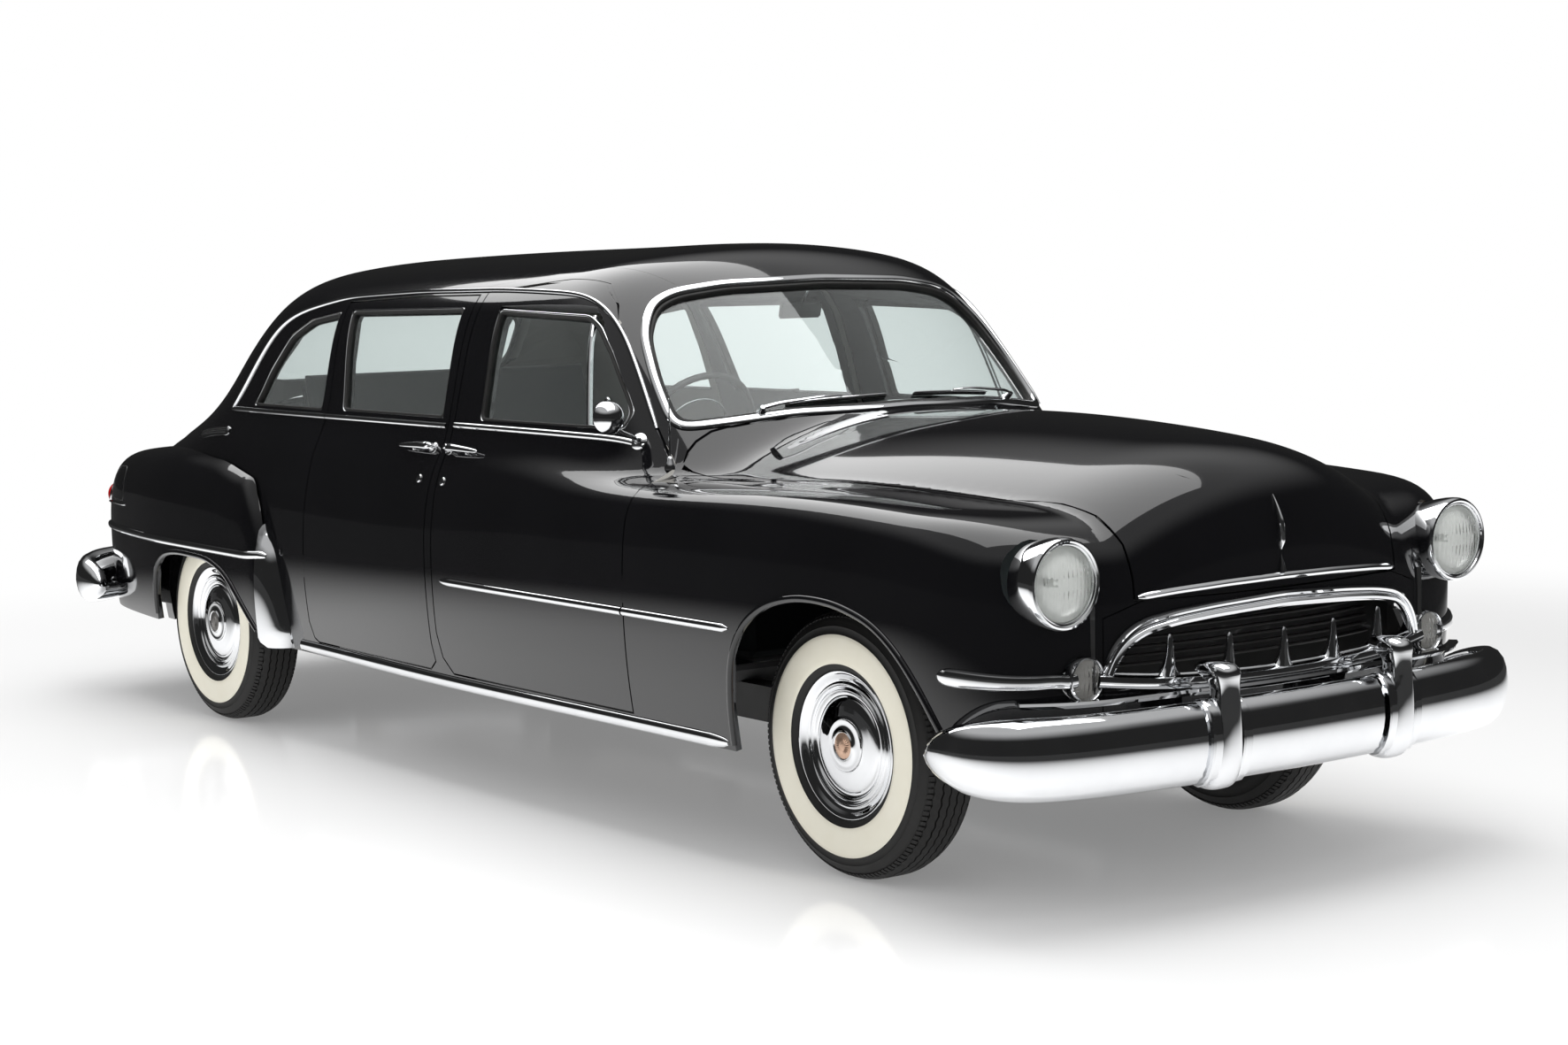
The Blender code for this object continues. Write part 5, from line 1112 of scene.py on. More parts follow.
# (height, place along X, half depth, half width) of a tooth's rings, over its foot on the bar
TOOTH = [(-0.006, -0.00875, 0.02325, 0.047), (0.0, -0.00775, 0.02225, 0.036),
         (0.008, -0.00575, 0.02025, 0.0265), (0.02, -0.003, 0.017, 0.02), (0.038, 0.0, 0.013, 0.0152),
         (0.06, 0.0025, 0.0095, 0.0115), (0.084, 0.0025, 0.0075, 0.009), (0.096, 0.0025, 0.0055, 0.007),
         (0.102, 0.0025, 0.0015, 0.003)]
line = even(both_ways(ARCH), 0.012, soft=10)
sizes = np.interp(np.abs(line[:, 1]) / 0.6, [0, 0.75, 1], [1.0, 0.9, 0.62])
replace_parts(moulding("grille_surround", "body", line, ARCH_SECTION, level_frame(line), sizes), "grille")
fit(swept_bar("grille_bar", both_ways(BAR), BAR_SECTION), "body")
shape = bmesh.new()
for y in (-0.4, -0.2, 0.0, 0.2, 0.4):
    foot_x, foot_z = 2.872 - 0.16 * y * y, 0.617 + 0.1 * y * y
    stack(shape, [(foot_z + z, foot_x + x, deep, wide) for z, x, deep, wide in TOOTH], y, 14, (1, 0.8))
fit(finished("grille_teeth", shape, CHROME, smooth=50), "body")
fit(swept_bar("bumper_rear_lip", both_ways(LIP), LIP_SECTION), "body")

# %% The dark core and its slats
SLAT = [(2.7, -0.52, 0.645), (2.745, -0.3, 0.645), (2.76, 0.0, 0.645)]
SLAT_SECTION = [(-0.012, -0.002), (0.01, -0.004), (0.012, 0.0), (0.01, 0.003), (-0.012, 0.002)]
CORE = [(2.812, -0.63), (2.76, -0.655), (2.69, -0.64), (2.655, -0.56), (2.65, -0.3), (2.65, 0.0)]
tree, start, put = node_tree("stack_of_copies", [
    ("Count", "NodeSocketInt"), ("Rise", "NodeSocketVector"), ("Material", "NodeSocketMaterial")])
points = put("GeometryNodeMeshLine", {"Count": start.outputs["Count"], "Offset": start.outputs["Rise"]})
copies = put("GeometryNodeInstanceOnPoints", {"Points": points.outputs[0],
                                              "Instance": start.outputs["Geometry"]})
close_tree(tree, put, copies.outputs[0], start.outputs["Material"])
slat = swept_bar("grille_slats", both_ways(SLAT), SLAT_SECTION, material=CHASSIS, spacing=0.04)
fit(run_tree(slat, tree, Count=6, Rise=(-0.004, 0.0, 0.022), Material=CHASSIS), "body")
shape = bmesh.new()
for back, narrow in ((0, 1), (0.012, 0.985)):
    loft(shape, [[(x - back, y * narrow, z) for x, y in both_ways(CORE)]
                 for z in np.linspace(0.575, 0.822, 4)], closed=False)
bmesh.ops.bridge_loops(shape, edges=[edge for edge in shape.edges if edge.is_boundary])
fit(finished("grille_core", shape, BAKELITE), "body")
print("grille")

# %% [markdown]
# ## Lamps
#
# A headlamp is a chrome shell with a rolled rim, a silvered bowl and a fluted lens in front of it. The
# parking lamps are small pods at the ends of the grille's bar. A chrome spear leads back from each one round
# the fender.

# %% Lenses
def lens(radius, rise, rings, steps, flute, thickness=0.003):
    """A domed glass, clear and flat behind, with upright flutes pressed in its middle."""
    shape = bmesh.new()

    def surface(offset, ridge):
        rows = []
        for i in range(rings + 1):
            r = radius * i / rings
            rows.append([])
            for j in range(steps if i else 1):
                a = 2 * math.pi * j / steps
                x, z = r * math.sin(a), r * math.cos(a)
                out = rise * (1 - (r / radius) ** 2) - offset
                band = 0.5 if abs(z) < radius * 0.16 else 1.0
                out += ridge * band * math.cos(x / radius * flute * math.pi) * (1 - (r / radius) ** 8)
                rows[-1].append((x, out, z))
        return loft(shape, rows)[-1]

    front, back = surface(0.0, 0.0), surface(thickness, 0.0009)
    for j in range(steps):
        shape.faces.new([front[j], front[(j + 1) % steps], back[(j + 1) % steps], back[j]])
    return shape


def lathe(*turned):
    """Lathe work as one shape. Each part is a profile and its steps."""
    shape = bmesh.new()
    for profile, steps in turned:
        revolve(shape, profile, steps)
    return shape


def face_front(name, shape, material, place, *replaced):
    """Fits lathe work to the body with its axle pointing ahead."""
    place = Matrix.Translation(place) @ Matrix.Rotation(-math.pi / 2, 4, "Z")
    fit(finished(name, shape, material, place=place), "body", *replaced)


# %% Headlamps, parking lamps and spears
SHELL = [(0.102, -0.1), (0.112, -0.06), (0.1165, -0.036), (0.1185, -0.018), (0.119, -0.004), (0.118, 0.004),
         (0.115, 0.0095), (0.11, 0.0115), (0.1055, 0.0085), (0.1035, 0.004), (0.1015, 0.005), (0.0995, 0.004),
         (0.098, -0.004), (0.094, -0.03)]
BOWL = [(0.0975, -0.004), (0.0955, -0.014), (0.086, -0.028), (0.066, -0.042), (0.04, -0.052), (0.016, -0.056),
        (0.0, -0.057)]
BULB = [(0.011, -0.055), (0.01, -0.03), (0.006, -0.025), (0.0, -0.024)]
POD_SHELL = [(0.03, -0.075), (0.046, -0.052), (0.0555, -0.022), (0.0585, -0.004), (0.059, 0.008),
             (0.0575, 0.013), (0.0545, 0.0145), (0.052, 0.011), (0.0505, 0.004), (0.046, -0.006),
             (0.0, -0.01)]
POD_BOWL = [(0.05, 0.0035), (0.03, 0.0), (0.0, -0.001)]
SPEAR = [(2.806, -0.69, 0.638), (2.79, -0.755, 0.637), (2.755, -0.835, 0.638), (2.712, -0.905, 0.642),
         (2.655, -0.958, 0.647), (2.583, -0.99, 0.652)]
SPEAR_SECTION = [(-0.014, -0.024), (0.004, -0.024), (0.012, -0.019), (0.017, -0.009), (0.016, 0.0),
                 (0.018, 0.009), (0.013, 0.02), (0.004, 0.0245), (-0.014, 0.024)]
for label, side in SIDES.items():
    place = (LAMP[0], side * LAMP[1], LAMP[2])
    face_front(f"headlamp_{label}_shell", lathe((SHELL, 72)), CHROME, place, f"headlamp_{label}")
    face_front(f"headlamp_{label}_bowl", lathe((BOWL, 48), (BULB, 16)), SILVER, place)
    face_front(f"headlamp_{label}_lens", lens(0.0985, 0.016, 40, 96, 13), LENS, place)
for label, side in SIDES.items():
    place = (2.804, side * POD[0], POD[1])
    face_front(f"parking_lamp_{label}_shell", lathe((POD_SHELL, 48)), CHROME, place)
    face_front(f"parking_lamp_{label}_bowl", lathe((POD_BOWL, 32)), STEEL, place)
    face_front(f"parking_lamp_{label}_lens", lens(0.051, 0.01, 20, 64, 7), LENS, (2.81, *place[1:]))
line = even(SPEAR, 0.01)
line[4:] = slide(lower_skin, line[4:])
line = even(line[::3], 0.01)
out = normals(lower_skin, line)
sizes = np.interp(np.linspace(0, 1, len(line)), [0, 0.5, 0.85, 0.93, 0.97, 1],
                  [0.7, 0.86, 1.0, 0.94, 0.75, 0.25])
for label in SIDES:
    moulding(f"spear_{label}", "body", line, SPEAR_SECTION, out, sizes, mirrored=label == "left")
print("lamps and spears")

# %% [markdown]
# ## Windows
#
# Each pane is a shell of safety glass bent to the body's curve. Its outline is the opening's, drawn in rings
# that shrink to the middle, and every point is cast on the skin and set in a little way. A thin bright reveal
# follows the edge, and a rubber channel closes the gap behind it.

# %% Panes and their edges
SIDE_WINDOWS = {
    "front_door": [(0.206, 1.212), (0.975, 1.212), (0.985, 1.262), (0.945, 1.314), (0.834, 1.442),
                   (0.752, 1.52), (0.69, 1.552), (0.172, 1.568)],
    "rear_door": [(-0.734, 1.212), (-0.03, 1.212), (-0.058, 1.573), (-0.838, 1.56)],
    "quarter": [(-1.455, 1.207), (-0.888, 1.207), (-0.92, 1.553), (-1.128, 1.526), (-1.262, 1.465),
                (-1.38, 1.333)],
}
REVEAL = bead(0.009, 0.005, 0.003)
CHANNEL = [(-0.022, -0.007), (0.004, -0.007), (0.007, -0.004), (0.007, 0.003), (0.002, 0.007),
           (-0.022, 0.007)]
PANE_DEPTH, PANE_THICK = 0.014, 0.0045


def pane(name, rows, way, body, replaced):
    middle = rows.mean(axis=0)
    shape = bmesh.new()
    edges = []
    for depth in (PANE_DEPTH, PANE_DEPTH + PANE_THICK):
        rings = [sunk(middle + (rows - middle) * share, way, depth)[0] for share in (
            1.0, 0.97, 0.85, 0.68, 0.5, 0.32, 0.14)]
        edges.append(loft(shape, rings + [sunk(middle[None], way, depth)[0]])[0])
    front, back = edges
    for i in range(len(rows)):
        k = (i + 1) % len(rows)
        shape.faces.new([front[i], front[k], back[k], back[i]])
    fit(finished(name, shape, GLASS, smooth=45), body, replaced)


def edge_band(name, rows, way, body, section, depth, material):
    place, slope = sunk(rows, way, depth)
    moulding(name, body, place, section, slope, closed=True, material=material)


for label, side in SIDES.items():
    way = (0, side, 0)
    for name, outline in SIDE_WINDOWS.items():
        body = "body" if name == "quarter" else f"{name}_{label}"
        at_pane, at_channel, at_reveal = (
            even([(x, 0.0, z) for x, z in grown(outline, by)], 0.012, True, 3)
            for by in (0.001, -0.004, 0.002))
        pane(f"{name}_pane_{label}", at_pane, way, body, f"{name}_glass_{label}")
        edge_band(f"{name}_channel_{label}", at_channel, way, body, CHANNEL, 0.01, RUBBER)
        edge_band(f"{name}_reveal_{label}", at_reveal, way, body, REVEAL, 0.006, CHROME)
for name, replaced in (("windshield", "windshield"), ("back_window", "rear_window")):
    half, start_x, way = ENDS[name]
    pane(f"{name}_pane", end_rows(half, 0.0, start_x), way, "body", replaced)
    edge_band(f"{name}_channel", end_rows(half, -0.004, start_x), way, "body", CHANNEL, 0.008, RUBBER)

# %% Vent windows
VENTS = {
    "vent_post": (0.014, [(0.703, 1.556), (0.76, 1.385), (0.812, 1.216)]),
    "vent_frame": (0.01, [(0.712, 1.548), (0.76, 1.508), (0.838, 1.432), (0.944, 1.306), (0.974, 1.262),
                          (0.968, 1.222), (0.9, 1.219), (0.82, 1.219)]),
}
LATCH = [(0.009, -0.002), (0.009, 0.004), (0.006, 0.007), (0.0, 0.008)]
for label, side in SIDES.items():
    way, body = (0, side, 0), f"front_door_{label}"
    for name, (width, points) in VENTS.items():
        place, slope = sunk(even([(x, 0.0, z) for x, z in points], 0.012, soft=3), way, 0.012)
        half, flat = width / 2, width / 4
        section = [(-0.01, -half), (0.004, -half), (0.007, -flat), (0.007, flat), (0.004, half),
                   (-0.01, half)]
        moulding(f"{name}_{label}", body, place, section, slope)
    place, slope = sunk(np.array([[0.872, 0.0, 1.3]]), way, 0.01)
    fit(finished(f"vent_latch_{label}", lathe((LATCH, 16)), CHROME, place=aimed(place[0], slope[0])), body)
print("windows")

# %% [markdown]
# ## One skin over the welded seams
#
# The roof, the pillars and the cowl are welded and leaded on the real car, so no seam shows. The CAD pieces
# meet along straight cuts. A thin sheet of the same lacquer lies just under the skin there and closes them.

# %% The leaded seams
def inside(outline, by, a, b):
    """Which of the points (a, b) lie inside an outline grown by a distance."""
    rows = grown(outline, by)
    hit = np.zeros(a.shape, bool)
    for (a0, b0), (a1, b1) in zip(rows, np.roll(rows, -1, axis=0)):
        crosses = (b0 > b) != (b1 > b)
        hit ^= crosses & (a < (a1 - a0) * (b - b0) / (b1 - b0 + 1e-12) + a0)
    return hit


def seam_cover():
    x, turn = np.meshgrid(np.linspace(-2.3, 1.24, 178), np.radians(np.linspace(-84, 84, 110)), indexing="ij")
    origin = np.stack([x * 0.86 - 0.02, 0 * x, 0 * x + 1.1], axis=-1)
    way = unit(np.stack([(x + 0.4) * 0.1, np.sin(turn), np.cos(turn)], axis=-1))
    place = cast(skin, origin, way)
    px, py, pz = np.moveaxis(place, -1, 0)
    keep = (pz > spline([(x, z) for x, y, z in DRIP_LINE])(px) + 0.012) | (np.abs(py) < 0.55)
    keep &= ~(inside(whole(SCREEN), 0.022, py, pz) & (px > 0.3))
    keep &= ~(inside(whole(BACK_LIGHT), 0.022, py, pz) & (px < -1.5))
    keep &= (pz > 1.3) & (px < 1.16) & (px > -2.12)
    place = place - normals(skin, place) * 0.0012
    shape = bmesh.new()
    verts = {}

    def corner(i, j):
        if (i, j) not in verts:
            verts[i, j] = shape.verts.new(place[i, j])
        return verts[i, j]

    for i, j in np.argwhere(keep[:-1, :-1] & keep[1:, :-1] & keep[:-1, 1:] & keep[1:, 1:]).tolist():
        shape.faces.new([corner(i, j), corner(i + 1, j), corner(i + 1, j + 1), corner(i, j + 1)])
    for face in shape.faces:
        face.smooth = True
    shape.normal_update()
    if sum(face.normal.z for face in shape.faces) < 0:
        bmesh.ops.reverse_faces(shape, faces=shape.faces)
    mesh = bpy.data.meshes.new("roof_seam_cover")
    shape.to_mesh(mesh)
    shape.free()
    points = np.empty(len(mesh.vertices) * 3)
    mesh.vertices.foreach_get("co", points)
    slopes = normals(skin, points.reshape(-1, 3))
    mesh.normals_split_custom_set_from_vertices([tuple(slope) for slope in slopes])
    fit(add("roof_seam_cover", mesh, PAINT), "body")


seam_cover()

# %% [markdown]
# ## Tail and side fittings
#
# Small bright parts break up the black: stone guards on the rear fenders, a ribbed plate behind each quarter
# window, tail lamps, the fuel flap, and a plain handle and blank plate on the trunk lid.

# %% Lathe work that stands on a surface
def turned(name, body, place, out, profile, steps=32, material=CHROME):
    """Lathe work whose axle stands on a place and leads out along a direction."""
    return fit(finished(name, lathe((profile, steps)), material, smooth=42, place=aimed(place, out)), body)


# %% Stone guards
GUARD_LOW, GUARD_HIGH, GUARD_STEPS = 0.345, 0.815, (30, 16)
GUARD_LIFT, GUARD_THICK = 0.0035, 0.005
share, low = np.meshgrid(np.linspace(0, 1, GUARD_STEPS[1]),
                         np.linspace(GUARD_LOW, GUARD_HIGH, GUARD_STEPS[0]))
round_top = np.sqrt(np.clip(1 - np.clip((low - 0.765) / 0.0501, 0, 1) ** 2, 0.02, 1))
round_foot = np.sqrt(np.clip(1 - np.clip((0.375 - low) / 0.0301, 0, 1) ** 2, 0.3, 1))
yaw = np.radians(38 + (share - 0.5) * 50 * np.minimum(round_top, round_foot))
origins = np.stack([0 * low + R + 0.42, 0 * low - 0.8, low], axis=-1)
place = cast(fender_skin, origins, np.stack([np.cos(yaw), -np.sin(yaw), 0 * yaw], axis=-1))
slope = normals(fender_skin, place)
rows, columns = GUARD_STEPS
edge = [(0, j) for j in range(columns)] + [(i, columns - 1) for i in range(1, rows)]
edge += [(rows - 1, j) for j in range(columns - 2, -1, -1)] + [(i, 0) for i in range(rows - 2, 0, -1)]
for label, side in SIDES.items():
    shape = bmesh.new()
    front, back = (loft(shape, (place + slope * out) * (1, -side, 1), closed=False)
                   for out in (GUARD_LIFT, GUARD_LIFT - GUARD_THICK))
    for (i, j), (m, n) in zip(edge, edge[1:] + edge[:1]):
        shape.faces.new([front[i][j], front[m][n], back[m][n], back[i][j]])
    fit(finished(f"stone_guard_{label}", shape, CHROME, smooth=45), "body")

# %% Plate behind the quarter window
both("rear_plate", "body", [(-1.86, -0.9, 1.094), (-1.73, -0.9, 1.101), (-1.59, -0.9, 1.108)],
     bead(0.038, 0.009, power=0.45), ends=(0.45, 0.45, 0.07), spacing=0.008)
for number, rise in ((0, -0.009), (9, 0.0), (18, 0.009)):
    rows = [(-1.845, -0.9, 1.0945 + rise), (-1.73, -0.9, 1.101 + rise), (-1.605, -0.9, 1.1075 + rise)]
    both(f"rear_plate_rib_{number}", "body", rows, bead(0.0035, 0.003), spacing=0.012, lift=0.0085,
         material=BAKELITE)

# %% Tail lamps
BEZEL = [(0.0, -0.012), (0.046, -0.012), (0.052, -0.004), (0.0535, 0.006), (0.0525, 0.012), (0.049, 0.015),
         (0.046, 0.013), (0.0445, 0.006), (0.0, 0.004)]
TAIL_LENS = [(0.0445, 0.005), (0.044, 0.014), (0.04, 0.022), (0.038, 0.0222), (0.0355, 0.0262),
             (0.0335, 0.0264), (0.03, 0.0306), (0.028, 0.0308), (0.024, 0.0342), (0.022, 0.0343),
             (0.016, 0.0372), (0.014, 0.0373), (0.006, 0.0388), (0.0, 0.039)]
for label, side in SIDES.items():
    seat = slide(fender_skin, np.array([[-2.775, side * 0.841, 0.799]]))
    out = normals(fender_skin, seat)[0]
    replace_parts(turned(f"tail_lamp_{label}_bezel", "body", seat[0], out, BEZEL), f"tail_lamp_{label}")
    turned(f"tail_lamp_{label}_lens", "body", seat[0], out, TAIL_LENS, 48, RED_LENS)

# %% Fuel flap and arches
FLAP = [(-2.6, 0.8), (-2.4, 0.8), (-2.392, 0.812), (-2.412, 0.925), (-2.424, 0.935), (-2.545, 0.928),
        (-2.56, 0.916), (-2.612, 0.812)]
FLAP_STEP = [(-2.64, -0.93, 0.782), (-2.5, -0.96, 0.784), (-2.35, -1.0, 0.786)]
rows = even([(x, 0.0, z) for x, z in FLAP], 0.012, True, 2) * (1, 0, 1) + (0, -0.75, 0)
place = cast(fender_skin, rows, np.broadcast_to((0.0, -1.0, 0.0), rows.shape), 0.5)
moulding("fuel_flap_seam", "body", place, bead(0.0045, 0.0016, 0.002), normals(fender_skin, place),
         closed=True, material=BAKELITE)
line, out = on_skin(fender_skin, FLAP_STEP, 0.01)
moulding("fuel_flap_step", "body", line, bead(0.01, 0.012), out, tapered(len(line), 0.4, 0.4, 0.1))
ARCHES = {
    "front_arch_lip": (lower_skin, [
        (1.698, -1.0, 0.352), (1.704, -1.0, 0.48), (1.727, -1.0, 0.619), (1.784, -1.0, 0.712),
        (1.897, -1.0, 0.782), (2.037, -1.0, 0.812), (2.191, -1.0, 0.809), (2.34, -1.0, 0.772),
        (2.44, -1.0, 0.705), (2.517, -0.98, 0.61), (2.575, -0.97, 0.505)]),
    "rear_arch_lip": (fender_skin, [
        (-2.045, -1.0, 0.385), (-2.045, -1.0, 0.456), (-2.01, -1.0, 0.575), (-1.925, -1.0, 0.632),
        (-1.795, -1.0, 0.648), (-1.526, -1.0, 0.642), (-1.385, -1.0, 0.598), (-1.278, -1.0, 0.498),
        (-1.177, -1.0, 0.404)]),
}
for name, (field, rows) in ARCHES.items():
    both(name, "body", rows, bead(0.021, 0.0085, 0.006), field, spacing=0.012, material=PAINT)

# %% Trunk handle, lock and blank plate
LOCK = [(0.0, -0.002), (0.014, -0.002), (0.015, 0.004), (0.01, 0.007), (0.009, 0.005), (0.0, 0.005)]
line, out = on_skin(lower_skin, [(-2.86, y, 0.945) for y in (-0.13, -0.06, 0.0, 0.06, 0.13)], 0.01)
rise = np.sin(np.pi * np.linspace(0, 1, len(line))) ** 0.4 * 0.024
moulding("trunk_handle", "trunk_lid", line + out * rise[:, None], oval(0.008, 0.011, 12), out)
turned("trunk_lock", "trunk_lid", *spot(lower_skin, (-2.2, 0.0, 0.905), (-1, 0, 0), 1.5), LOCK)
shape = bmesh.new()
block(shape, (0.008, 0.31, 0.155))
round_edges(shape, 0.003, 2)
place, out = spot(lower_skin, (-2.2, 0.0, 0.79), (-1, 0, 0), 1.5)
turn = Vector((-1, 0, 0)).rotation_difference(Vector(out)).to_matrix().to_4x4()
plate_at = Matrix.Translation(Vector(place) + Vector(out) * 0.012) @ turn
fit(finished("blank_plate", shape, CREAM, place=plate_at), "trunk_lid")
corners = [(0.0, y, z) for y, z in ((-0.158, -0.08), (0.158, -0.08), (0.158, 0.08), (-0.158, 0.08))]
line = [plate_at @ Vector(row) for row in even(corners, 0.01, True, 2)]
moulding("plate_frame", "trunk_lid", line, oval(0.005, 0.005, 8), out, closed=True)
print("tail")

# %% [markdown]
# ## Door furniture, mirror, wipers and mast
#
# Pull handles are die castings that taper away from their push buttons. The mirror is a spun dome on a
# clamped arm. The wipers park along the foot of the windshield.

# %% Door handles and locks
BUTTON = [(0.0, 0.018), (0.0092, 0.018), (0.0092, 0.03), (0.008, 0.0315), (0.0, 0.0318)]
KEYHOLE = [(0.0, -0.002), (0.0135, -0.002), (0.014, 0.002), (0.0115, 0.0045), (0.0085, 0.0035),
           (0.007, 0.004), (0.0, 0.004)]


def door_handle(door, base_x, tip_x, lock_x, lock_z):
    points = [(base_x + (tip_x - base_x) * share, -0.92, 1.117 - 0.006 * share)
              for share in np.linspace(0, 1, 6)]
    line, out = on_skin(skin, points, 0.008)
    share = np.linspace(0, 1, len(line))
    lift = np.interp(share, [0, 0.1, 0.3, 0.7, 1], [0.017, 0.022, 0.024, 0.021, 0.017])
    size = np.interp(share, [0, 0.04, 0.12, 0.35, 0.8, 0.96, 1], [0.55, 0.95, 1.15, 1.0, 0.72, 0.5, 0.15])
    for label, side in SIDES.items():
        body = f"{door}_{label}"
        flip = (1, -side, 1)
        moulding(f"{door}_handle_{label}", body, line + out * lift[:, None], oval(0.0075, 0.0115, 14), out,
                 size, mirrored=label == "left")
        for number, (at, radius) in enumerate(((0.07, 0.015), (0.62, 0.0085))):
            i = int(at * (len(line) - 1))
            foot = [(0.0, -0.002), (radius * 1.35, -0.002), (radius * 1.3, 0.003), (radius * 0.9, 0.006),
                    (radius * 0.72, 0.02), (0.0, 0.02)]
            turned(f"{door}_handle_foot_{number}_{label}", body, line[i] * flip, out[i] * flip, foot, 24)
        turned(f"{door}_button_{label}", body, line[2] * flip, out[2] * flip, BUTTON, 24)
        place, way = on_skin(skin, [(lock_x, side * 0.96, lock_z), (lock_x + 0.01, side * 0.96, lock_z)],
                             0.005)
        turned(f"{door}_lock_{label}", body, place[0], way[0], KEYHOLE, 28)


door_handle("rear_door", -0.022, -0.235, -0.048, 1.015)
door_handle("front_door", 0.068, 0.275, 0.111, 1.012)

# %% Mirror and mast
DOME = [(0.0, 0.046), (0.014, 0.0448), (0.028, 0.04), (0.04, 0.03), (0.0475, 0.017), (0.051, 0.003),
        (0.052, -0.003), (0.0505, -0.0065), (0.0475, -0.0055), (0.047, -0.002), (0.0, -0.002)]
MIRROR_FOOT = [(0.0, -0.006), (0.026, -0.006), (0.027, 0.002), (0.022, 0.007), (0.013, 0.011), (0.011, 0.02),
               (0.0, 0.022)]
MAST = [(0.0, -0.006), (0.017, -0.006), (0.018, 0.004), (0.013, 0.012), (0.01, 0.026), (0.0065, 0.032),
        (0.0035, 0.034), (0.0032, 0.11), (0.0024, 0.112), (0.0022, 0.205), (0.0, 0.207)]
tilt = math.radians(80)
head = turned("mirror_head", "front_door_right", (1.042, -0.932, 1.255),
              (math.sin(tilt), 0.0, math.cos(tilt)),
              DOME, 48)
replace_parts(head, "door_mirror")
place, out = spot(skin, (1.037, -0.62, 1.06), (0.0, -0.86, 0.51))
turned("mirror_foot", "front_door_right", place, out, MIRROR_FOOT)
arm = even([place + out * 0.012, place + out * 0.03 + (0.0, -0.01, 0.004), (1.044, -0.895, 1.212),
            (1.05, -0.925, 1.236), (1.052, -0.932, 1.255)], 0.008, soft=3)
moulding("mirror_arm", "front_door_right", arm, oval(0.0075, 0.0075, 12), (1.0, 0.0, 0.1))
turned("mast", "body", spot(skin, (1.16, -0.3, 0.8), (0.0, -0.86, 0.53))[0], (0, 0, 1), MAST, 20)

# %% Wipers
PIVOT = [(0.0, -0.004), (0.016, -0.004), (0.017, 0.003), (0.012, 0.01), (0.009, 0.024), (0.007, 0.03),
         (0.0, 0.031)]
BLADE = ((0.405, 1.281), (0.3, 1.288), (0.18, 1.293), (0.055, 1.297))
BLADE_SECTION = [(-0.009, -0.002), (0.0, -0.0025), (0.0, 0.0025), (-0.009, 0.002)]
for label, side in SIDES.items():
    shaft, way = spot(skin, (1.218, side * 0.492, 1.0), (0, 0, 1), 0.6)
    turned(f"wiper_pivot_{label}", "body", shaft, way, PIVOT, 24)
    blade, out = sunk(even([(-0.2, side * y, z) for y, z in BLADE], 0.012), (1, 0, 0), 0.014)
    blade = blade + out * 0.009
    moulding(f"wiper_rubber_{label}", "body", blade, BLADE_SECTION, out, material=RUBBER)
    moulding(f"wiper_bow_{label}", "body", blade + out * 0.004, bead(0.008, 0.004, 0.002), out,
             tapered(len(blade), 0.3, 0.3, 0.2))
    middle = blade[len(blade) // 2] + out[len(blade) // 2] * 0.012
    arm = even([shaft + way * 0.026, shaft + way * 0.034 + (0.02, -side * 0.05, 0.008),
                middle + (0.012, side * 0.06, 0.004), middle], 0.012, soft=4)
    moulding(f"wiper_arm_{label}", "body", arm, oval(0.003, 0.0055, 10), way, np.linspace(1.3, 0.7, len(arm)))
print("fittings")

# %% Hood trim
HOOD_LIP = [(2.86, -0.497, 0.838), (2.86, -0.38, 0.846), (2.86, -0.2, 0.853), (2.86, 0.0, 0.856)]
HOOD_LIP_SECTION = [(-0.003, -0.009), (0.004, -0.009), (0.01, -0.004), (0.0115, 0.001), (0.009, 0.007),
                    (0.003, 0.01), (-0.003, 0.01)]
line, out = on_skin(skin, both_ways(HOOD_LIP), 0.012, soft=6)
moulding("hood_lip", "hood", line, HOOD_LIP_SECTION, out, tapered(len(line), 0.4, 0.4, 0.03))
line, out = on_skin(skin, [(2.87, 0.0, 0.866), (2.87, 0.0, 0.885), (2.86, 0.0, 0.912)], 0.006)
moulding("hood_lip_fin", "hood", line, bead(0.02, 0.016, 0.004, 0.7), out, np.linspace(1.0, 0.12, len(line)))
line, out = on_skin(skin, [(2.86, 0.0, 0.926), (2.85, 0.0, 0.96), (2.83, 0.0, 1.01), (2.8, 0.0, 1.055)],
                    0.006)
sizes = np.interp(np.linspace(0, 1, len(line)), [0, 0.15, 0.5, 1], [0.15, 0.8, 1.0, 0.12])
moulding("hood_blade", "hood", line, bead(0.018, 0.02, 0.004, 0.8), out, sizes)

# %% [markdown]
# ## Under the car
#
# The frame, axle, springs, exhaust and tank stay as the CAD made them: plain pressings and tubes. They take
# chassis black, worn steel and enamel.

# %% Chassis finishes and the engine's dress
CAD_FINISHES = {CHASSIS: ("frame", "fuel_tank", "rear_axle", "radiator"), CARPET: ("floor_pan",),
                STEEL: ("exhaust", "knuckle_right", "knuckle_left"), ENGINE: ("engine",)}
for surface, nodes in CAD_FINISHES.items():
    for node in nodes:
        mesh = NODES[node].data
        mesh.materials.clear()
        mesh.materials.append(surface)
        mesh.polygons.foreach_set("material_index", [0] * len(mesh.polygons))
AIR_CLEANER = [(0.0, -0.01), (0.06, -0.01), (0.06, 0.02), (0.175, 0.026), (0.18, 0.034), (0.18, 0.085),
               (0.172, 0.094), (0.05, 0.104), (0.018, 0.106), (0.014, 0.116), (0.0, 0.116)]
FAN_HUB = [(0.0, 0.0), (0.055, 0.0), (0.055, 0.012), (0.16, 0.02), (0.165, 0.028), (0.05, 0.026),
           (0.045, 0.05), (0.0, 0.05)]
